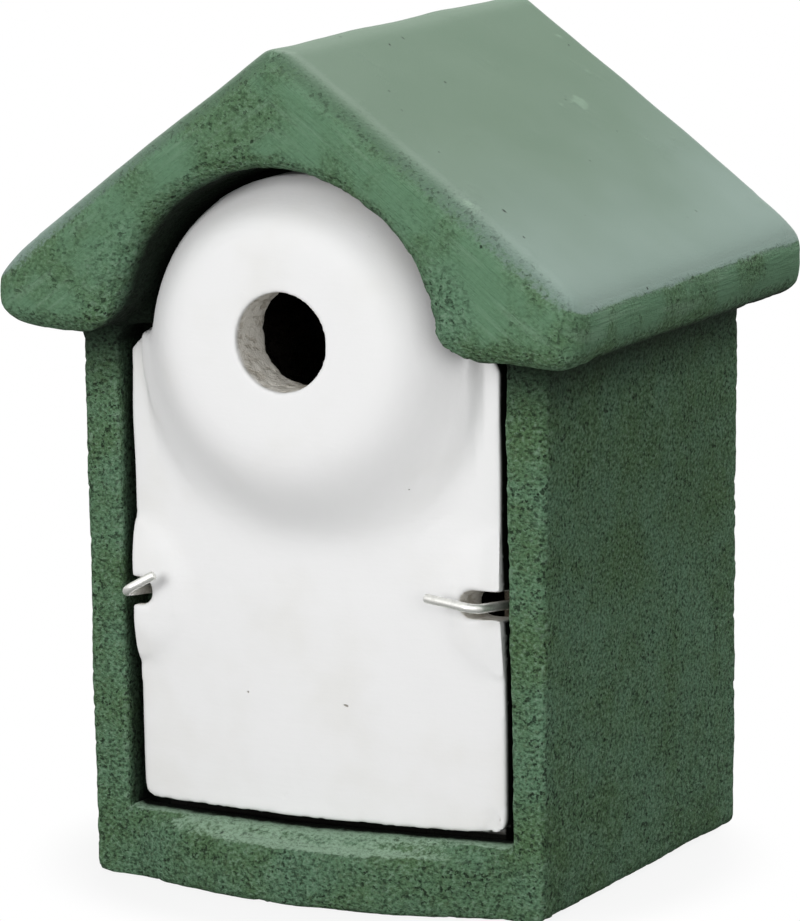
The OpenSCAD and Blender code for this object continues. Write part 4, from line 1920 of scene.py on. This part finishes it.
@dataclass(frozen=True)
class Studio:
    """The pale floor, the soft lights and the camera.

    Attributes:
        azimuth: How far the camera stands to the right of the front, in degrees.
        elevation: How far above the level it looks down from, in degrees.
        roll: How far it leans, in degrees.
        distance: Its distance from what it looks at, in metres.
        aim: What it looks at.
        lens: Its focal length, in millimetres.
        sensor: The width that it takes in at that length, in millimetres.
        ambient: Strength of the light from all round.
        floor_tone: How light the floor is.
        floor_reach: Radius of the floor, in metres.
        shadow_reach: Between which distances from the middle the shadow fades, in metres.
        lamps: The soft lamps.
    """

    azimuth: float = 26.8865
    elevation: float = 10.4626
    roll: float = -0.3076
    distance: float = 2.0229
    aim: Triple = (-0.00664, 0.0109, 0.13075)
    lens: float = 238.964
    sensor: float = 36.0
    ambient: float = 0.36
    floor_tone: float = 0.52
    floor_reach: float = 6.0
    shadow_reach: tuple[float, float] = (0.100, 0.130)
    lamps: tuple[Lamp, ...] = (
        Lamp("key", (-0.36, -1.90, 0.72), 0.9, 22.0),
        Lamp("side", (1.25, -1.35, 0.55), 0.9, 9.0),
        Lamp("top", (0.05, 0.45, 1.70), 1.1, 33.0),
    )

    def build(self) -> None:
        """Sets the stage."""
        self.add_camera()
        self.add_world()
        self.add_floor()
        for lamp in self.lamps:
            lamp.hang(Vector(self.aim))
        bpy.context.scene.view_settings.view_transform = "Standard"

    def add_camera(self) -> None:
        """Adds the camera."""
        azimuth, elevation = math.radians(self.azimuth), math.radians(self.elevation)
        level = math.cos(elevation)
        back = Vector((math.sin(azimuth) * level, -math.cos(azimuth) * level, math.sin(elevation)))
        data = bpy.data.cameras.new("camera")
        data.lens = self.lens
        data.sensor_width = self.sensor
        camera = bpy.data.objects.new("camera", data)
        bpy.context.scene.collection.objects.link(camera)
        roll = Matrix.Rotation(math.radians(self.roll), 3, "Z")
        turn = (-back).to_track_quat("-Z", "Y").to_matrix() @ roll
        at = Vector(self.aim) + back * self.distance
        camera.matrix_world = Matrix.Translation(at) @ turn.to_4x4()
        bpy.context.scene.camera = camera

    def add_world(self) -> None:
        """Adds an even white world, at full strength where it is seen or mirrored."""
        world = bpy.data.worlds.new("studio")
        world.use_nodes = True
        bpy.context.scene.world = world
        bench = Bench(world.node_tree)
        path = bench.node("ShaderNodeLightPath")
        mirrored = bench.maths("MAXIMUM", path.outputs["Is Glossy Ray"],
                               path.outputs["Is Transmission Ray"])
        seen = bench.maths("MAXIMUM", path.outputs["Is Camera Ray"], mirrored)
        ground = world.node_tree.nodes["Background"]
        ground.inputs["Color"].default_value = (1.0, 1.0, 1.0, 1.0)
        bench.feed(ground.inputs["Strength"], bench.blend(seen, self.ambient, 1.0))

    def add_floor(self) -> None:
        """Adds the floor: it shows white further out and keeps the box's shadow around its foot."""
        bm = bmesh.new()
        bmesh.ops.create_circle(bm, cap_ends=True, segments=64, radius=self.floor_reach)
        floor = new_piece("floor", to_mesh(bm, "floor"))
        bench, shader = new_material("floor")
        seen = bench.node("ShaderNodeLightPath").outputs["Is Camera Ray"]
        tone = bench.blend(seen, self.floor_tone * 0.5, self.floor_tone)
        grey = bench.node("ShaderNodeCombineColor")
        for socket in grey.inputs[:3]:
            bench.feed(socket, tone)
        bench.feed(shader.inputs["Base Color"], grey.outputs[0])
        shader.inputs["Roughness"].default_value = 1.0
        shader.inputs["Specular IOR Level"].default_value = 0.0
        away = bench.node("ShaderNodeVectorMath", operation="LENGTH")
        bench.feed(away.inputs[0], bench.node("ShaderNodeTexCoord").outputs["Object"])
        bare = bench.ramp(away.outputs["Value"], *self.shadow_reach, 0.88, 1.0)
        glow = bench.node("ShaderNodeEmission")
        mixed = bench.node("ShaderNodeMixShader")
        bench.feed(mixed.inputs[0], bench.maths("MULTIPLY", seen, bare))
        bench.feed(mixed.inputs[1], shader.outputs[0])
        bench.feed(mixed.inputs[2], glow.outputs[0])
        bench.feed(bench.tree.nodes["Material Output"].inputs["Surface"], mixed.outputs[0])
        dress(floor, bench)


def report(piece: bpy.types.Object, body: str, slot: str, *nodes: str) -> None:
    """Ties a piece to its body, hides the CAD nodes that it stands for, and logs it.

    Args:
        piece: The piece.
        body: The body that it rides on.
        slot: The record's material slot; not used.
        *nodes: The CAD nodes that it stands for.
    """
    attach(piece, body)
    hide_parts(*nodes)
    log.info("%s: %d faces, rides %s", piece.name, len(piece.data.polygons), body)


def main() -> None:
    """Builds the looks, piece by piece."""
    logging.basicConfig(level=logging.INFO, format="%(name)s: %(message)s")
    # Unseeded, noise_vector starts from the clock, and the air holes' rims differ in every run.
    noise.seed_set(NOISE_SEED)
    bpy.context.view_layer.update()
    Studio().build()
    groups = Groups()

    body = BodyCasting().build()
    dress(body, GreenPaint().material(groups))
    report(body, "box", "body_green", "body_casting")

    panel = FrontPanel().build()
    dress(panel, WhitePaint().material(groups))
    report(panel, "box", "panel_white", "front_panel")

    wire = Zinc("wire_zinc", bright=(0.88, 0.88, 0.84), dull=(0.66, 0.66, 0.63)).material()
    for hook in (WireHook(Side.LEFT, reach=7.2 * MM, arm=8 * MM, rise=32),
                 WireHook(Side.RIGHT, reach=10.2 * MM, arm=15.5 * MM, rise=5)):
        piece = hook.build()
        dress(piece, wire)
        report(piece, hook.body, "wire_zinc", hook.node)

    plate = Fitting("hanger_plate", "plate", 0.3 * MM).build()
    dress(plate, Zinc("plate_zinc").material())
    report(plate, "box", "plate_zinc", "hanger_plate")

    screw_zinc = Zinc("screw_zinc", spangle=0.8 * MM, shine=0.25).material()
    for node in ("hanger_screw_left", "hanger_screw_right"):
        piece = Fitting(node, node.replace("hanger_", ""), 0.12 * MM).build()
        dress(piece, screw_zinc)
        report(piece, "box", "screw_zinc", node)


if __name__ == "__main__":
    main()
